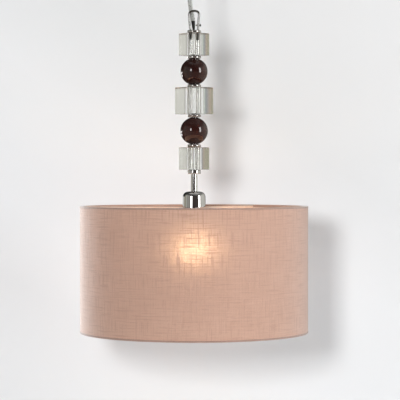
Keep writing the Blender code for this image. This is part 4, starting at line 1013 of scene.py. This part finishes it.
def make_column():
    """Nipples, chrome tube, glass cubes and balls, the discs between them and the end collar."""
    for node in ("loop_nipple", "cup_nipple"):
        dress(f"{node}_thread", node, threaded_nipple(f"{node}_thread", node))
    outer, top, bottom = extent("stem_tube")
    tube = tube_outline(outer, NIPPLE_HOLE, top, bottom)
    dress("chrome_tube", "stem_tube", revolved("chrome_tube", softened(tube, SOFT_EDGE / 2)))
    cubes = (
        ("top", CUBE_HALF, CUBE_TURN),
        ("middle", MIDDLE_CUBE_HALF, CUBE_TURN),
        ("bottom", CUBE_HALF, LOWEST_CUBE_TURN),
    )
    for place, half, turn in cubes:
        name, node = f"{place}_cube_glass", f"glass_cube_{place}"
        data = glass_cube(name, half, top_of(node), bottom_of(node), turn)
        dress(name, node, data)
        data.materials.append(FINISHES["ground_glass"])
    for place in ("upper", "lower"):
        name, node = f"{place}_ball_glass", f"glass_ball_{place}"
        radius, top, bottom = extent(node)
        middle = (top + bottom) / 2
        tilt = math.asin(min(1.0, (top - middle) / radius))
        ball = arc((0.0, middle), radius, tilt, -tilt, BALL_STEPS)
        dress(name, node, revolved(name, [*ball, (BEAD_BORE, bottom), (BEAD_BORE, top)]))
    for index in range(DISC_COUNT):
        name, node = f"bright_disc_{index + 1}", f"spacer_disc_{index + 1}"
        outline = disc_outline(reach_of(node), BEAD_BORE, top_of(node), bottom_of(node))
        dress(name, node, revolved(name, outline))
    outer, top, bottom = extent("end_collar")
    bore = BEAD_BORE + COLLAR_EDGE
    corners = [(bore, top), (outer, top), (outer, bottom), (bore, bottom)]
    outline = softened(corners, COLLAR_EDGE, closed=False)
    outline += softened([(BEAD_BORE, bottom), (BEAD_BORE, top)], closed=False)
    dress("bright_collar", "end_collar", revolved("bright_collar", outline))


def make_holder():
    """Chrome cup, and the threaded skirt under it."""
    outer, top, bottom = extent("holder_cup")
    hub = (outer - CUP_TAPER - CUP_SHOULDER, top - CUP_SHOULDER)
    outline = [
        (NIPPLE_HOLE, top),
        *arc(hub, CUP_SHOULDER, QUARTER, 0.0, CUP_STEPS),
        *softened([(outer, bottom), (outer - CUP_WALL, bottom)], SOFT_EDGE, closed=False),
        *arc(hub, CUP_SHOULDER - CUP_WALL, 0.0, QUARTER, CUP_STEPS),
        (NIPPLE_HOLE, top - CUP_WALL),
    ]
    dress("chrome_cup", "holder_cup", revolved("chrome_cup", outline))

    collar, top, bottom = extent("holder_skirt")
    crest = collar - FIT_GAP
    bore = crest - SKIRT_WALL
    start, end = top - SKIRT_THREAD_START, bottom + SKIRT_THREAD_END
    outline = [(collar, top), (collar, top - SKIRT_COLLAR), (crest, top - SKIRT_COLLAR)]
    outline += thread_side(crest, start, end, SKIRT_PITCH, SKIRT_PITCH_STEPS)
    outline += [(crest, bottom), (bore, bottom), (bore, top)]
    ripple = thread_ripple(crest, SKIRT_PITCH, SKIRT_THREAD_DEPTH, start, end)
    dress("threaded_skirt", "holder_skirt", revolved("threaded_skirt", outline, ROUND_STEPS, ripple))


# Shade


def cloth_wall(name, radius, top, bottom, rows, outward=True):
    """A thin round wall of cloth or liner, with a map of the cloth in metres."""
    points, faces = [], []
    for row in range(rows + 1):
        height = top + (bottom - top) * row / rows
        for step in range(SHADE_STEPS):
            angle = TURN * step / SHADE_STEPS + QUARTER
            points.append((radius * math.cos(angle), radius * math.sin(angle), height))
    for row in range(rows):
        for step in range(SHADE_STEPS):
            after = (step + 1) % SHADE_STEPS
            upper, lower = row * SHADE_STEPS, (row + 1) * SHADE_STEPS
            face = [upper + step, lower + step, lower + after, upper + after]
            faces.append(face if outward else face[::-1])
    mesh = bpy.data.meshes.new(name)
    mesh.from_pydata(points, [], faces)
    mesh.shade_smooth()
    layer = mesh.uv_layers.new(name="cloth")
    girth = TURN * radius
    for polygon in mesh.polygons:
        step = polygon.index % SHADE_STEPS
        for loop_index in polygon.loop_indices:
            vertex = mesh.loops[loop_index].vertex_index
            column = vertex % SHADE_STEPS
            if step == SHADE_STEPS - 1 and column == 0:
                column = SHADE_STEPS
            layer.data[loop_index].uv = (girth * column / SHADE_STEPS, points[vertex][2])
    return mesh


def make_shade_cover():
    """Linen wall, liner behind it and the two rolled hems."""
    outer = reach_of("shade_fabric")
    top, bottom = top_of("shade_fabric") + HEM_LAP, bottom_of("shade_fabric") - HEM_LAP
    wall = cloth_wall("linen_wall", outer - CLOTH_INSET, top, bottom, CLOTH_ROWS)
    linen = dress("linen_wall", "shade_fabric", wall)
    reach, top, bottom = extent("shade_liner")
    liner = cloth_wall("liner_wall", reach - CLOTH_INSET, top, bottom, LINER_ROWS, outward=False)
    dress("liner_wall", "shade_liner", liner)

    for end, sign in (("top", 1), ("bottom", -1)):
        name, node = f"{end}_hem", f"shade_{end}_hem"
        edge = top_of(node) if sign > 0 else bottom_of(node)
        lapped = outer - HEM_THICKNESS
        section = [(outer, 0.0), (outer, -HEM_HEIGHT), (lapped, -HEM_HEIGHT), (lapped, -HEM_FOLD)]
        section += [(HEM_BACK_OUTER, -HEM_FOLD), (HEM_BACK_OUTER, -HEM_BACK_HEIGHT)]
        section += [(HEM_BACK_INNER, -HEM_BACK_HEIGHT), (HEM_BACK_INNER, 0.0)]
        outline = [(radius, edge + sign * height) for radius, height in softened(section, HEM_EDGE)]
        data = revolved(name, outline, SHADE_STEPS)
        layer = data.uv_layers.new(name="cloth")
        for loop in data.loops:
            place = data.vertices[loop.vertex_index].co
            layer.data[loop.index].uv = (outer * math.atan2(place.x, place.y), place.z)
        # The hem finish is the linen darkened as painted shade
        dress(name, node, data, FINISHES["hem"])


def make_shade_frame():
    """Wire rings, the three arms, the fitter that hangs on the lampholder, and the ribbed clamp ring."""
    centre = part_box("shade_bottom_ring")[1].x - RING_WIRE / 2
    low_level = (top_of("shade_bottom_ring") + bottom_of("shade_bottom_ring")) / 2
    high_level = top_of("shade_top_hem") - (low_level - bottom_of("shade_bottom_hem"))
    turns = [TURN * i / WIRE_RING_STEPS for i in range(WIRE_RING_STEPS)]
    circle = [Vector((math.cos(turn), math.sin(turn), 0.0)) * centre for turn in turns]
    coated = FINISHES["coated_wire"]
    rings = (("bottom_wire", "shade_bottom_ring", low_level), ("top_wire", "shade_spider", high_level))
    for name, node, level in rings:
        wire = pipe(name, [(p.x, p.y, level) for p in circle], RING_WIRE, cyclic=True)
        dress(name, node, wire, coated)
    fitter_top = bottom_of("holder_cup") - FIT_GAP
    hole = reach_of("holder_skirt") - FIT_GAP + FITTER_PLAY
    outline = softened(tube_outline(FITTER_OUTER, hole, fitter_top, fitter_top - FITTER_THICKNESS))
    chrome = FINISHES["polished_chrome"]
    piece("fitter_ring", revolved("fitter_ring", outline), "shade", chrome)
    for index, bearing in enumerate(ARM_BEARINGS):
        out = Vector((math.sin(bearing), math.cos(bearing), 0.0))
        level = Vector((0.0, 0.0, high_level))
        points = [out * (FITTER_OUTER - ARM_START) + level, out * (centre - ARM_END_GAP) + level]
        name = f"spider_arm_{index + 1}"
        piece(name, pipe(name, points, ARM_WIRE, resolution=8), "shade", coated)

    rim, top, bottom = extent("shade_clamp_ring")
    body = rim - CLAMP_FLANGE
    outline = [(rim, top), (rim, top - CLAMP_FLANGE), (body, top - CLAMP_FLANGE), (body, bottom)]
    outline += [(hole, bottom), (hole, top)]

    def ribs(radius, height, angle):
        if abs(radius - body) > SAME_RADIUS and abs(radius - rim) > SAME_RADIUS:
            return radius
        return radius - RIB_DEPTH * (0.5 + 0.5 * math.cos(angle * RIB_COUNT))

    ring = revolved("clamp_ring_ribbed", softened(outline), RIBBED_STEPS, ribs)
    dress("clamp_ring_ribbed", "shade_clamp_ring", ring)


# Bulb


def make_bulb():
    """Lit opal globe and its rolled screw cap."""
    radius, top, bottom = extent("bulb_glass")
    centre = bottom + radius
    globe = arc((0.0, centre), radius, BULB_SHOULDER, -QUARTER, BULB_GLOBE_STEPS)
    shoulder = globe[0]
    waist = bottom_of("bulb_cap") - FIT_GAP
    flare = [(BULB_NECK, top), (BULB_NECK, waist)]
    for step in range(1, BULB_FLARE_STEPS):
        share = step / BULB_FLARE_STEPS
        blend = share * share * (3 - 2 * share)
        reach = BULB_NECK + (shoulder[0] - BULB_NECK) * blend
        flare.append((reach, waist + (shoulder[1] - waist) * share))
    scale = (radius - BULB_WALL) / radius
    outline = [*flare, *globe[:-1], (0.0, bottom), (0.0, bottom + BULB_WALL)]
    outline += [(r * scale, centre + (z - centre) * scale) for r, z in reversed(globe[:-1])]
    outline += [(r - BULB_WALL, z) for r, z in reversed(flare)]
    dress("opal_globe", "bulb_glass", revolved("opal_globe", outline, BULB_STEPS))

    crest, top, bottom = extent("bulb_cap")
    start, end = top - CAP_THREAD_START, bottom + CAP_THREAD_END
    root = crest - CAP_THREAD_DEPTH
    bore = root - CAP_WALL
    outline = [(bore, top), (root, top), (root, start + CAP_EDGE)]
    outline += thread_side(crest, start, end, CAP_PITCH, CAP_PITCH_STEPS)
    outline += [(root, end - CAP_EDGE), (root, bottom), (bore, bottom)]

    def cap_thread(radius, height, angle):
        if radius < crest - SAME_RADIUS:
            return radius
        phase = (height / CAP_PITCH - angle / TURN) % 1.0
        fade = min(1.0, (start - height) / CAP_THREAD_FADE, (height - end) / CAP_THREAD_FADE)
        return root + CAP_THREAD_DEPTH * max(0.0, fade) * (0.5 + 0.5 * math.cos(TURN * phase))

    dress("bulb_screw_cap", "bulb_cap", revolved("bulb_screw_cap", outline, BULB_STEPS, cap_thread))


# Ceiling fitting


def make_ceiling_fitting():
    """Spun canopy and the cord grip's cap under it."""
    outer, top, bottom = extent("ceiling_canopy")
    hub = (outer - CANOPY_CORNER, bottom + CANOPY_CORNER)
    outline = [
        (outer, top),
        *arc(hub, CANOPY_CORNER, 0.0, -QUARTER, CANOPY_CORNER_STEPS),
        (GRIP_HOLE, bottom),
        (GRIP_HOLE, bottom + CANOPY_WALL),
        *arc(hub, CANOPY_CORNER - CANOPY_WALL, -QUARTER, 0.0, CANOPY_CORNER_STEPS),
        (outer - CANOPY_WALL, top),
    ]
    dress("spun_canopy", "ceiling_canopy", revolved("spun_canopy", softened(outline), CANOPY_STEPS))
    rim, top, bottom = extent("grip_cap")
    step = bottom + GRIP_BEVEL
    outline = [(rim, top), (rim, step), (rim - GRIP_BEVEL, bottom), (GRIP_MOUTH, bottom)]
    outline += [(GRIP_MOUTH, step), (GRIP_HOLE, step), (GRIP_HOLE, top)]
    dress("grip_cap_turned", "grip_cap", revolved("grip_cap_turned", softened(outline)))


def finish_carried_nodes():
    """Every CAD node that still shows gets the procedural material of its slot."""
    for node, obj in frame["nodes"].items():
        if obj.hide_render:
            continue
        material = FINISHES[slot_of(node)]
        for material_slot in obj.material_slots:
            material_slot.link = "OBJECT"
            material_slot.material = material


make_camera()
make_cord()
make_backdrop()
make_world()
make_lights()
make_loop()
make_column()
make_holder()
make_shade_cover()
make_shade_frame()
make_bulb()
make_ceiling_fitting()
finish_carried_nodes()

bpy.context.scene.view_settings.view_transform = "Standard"
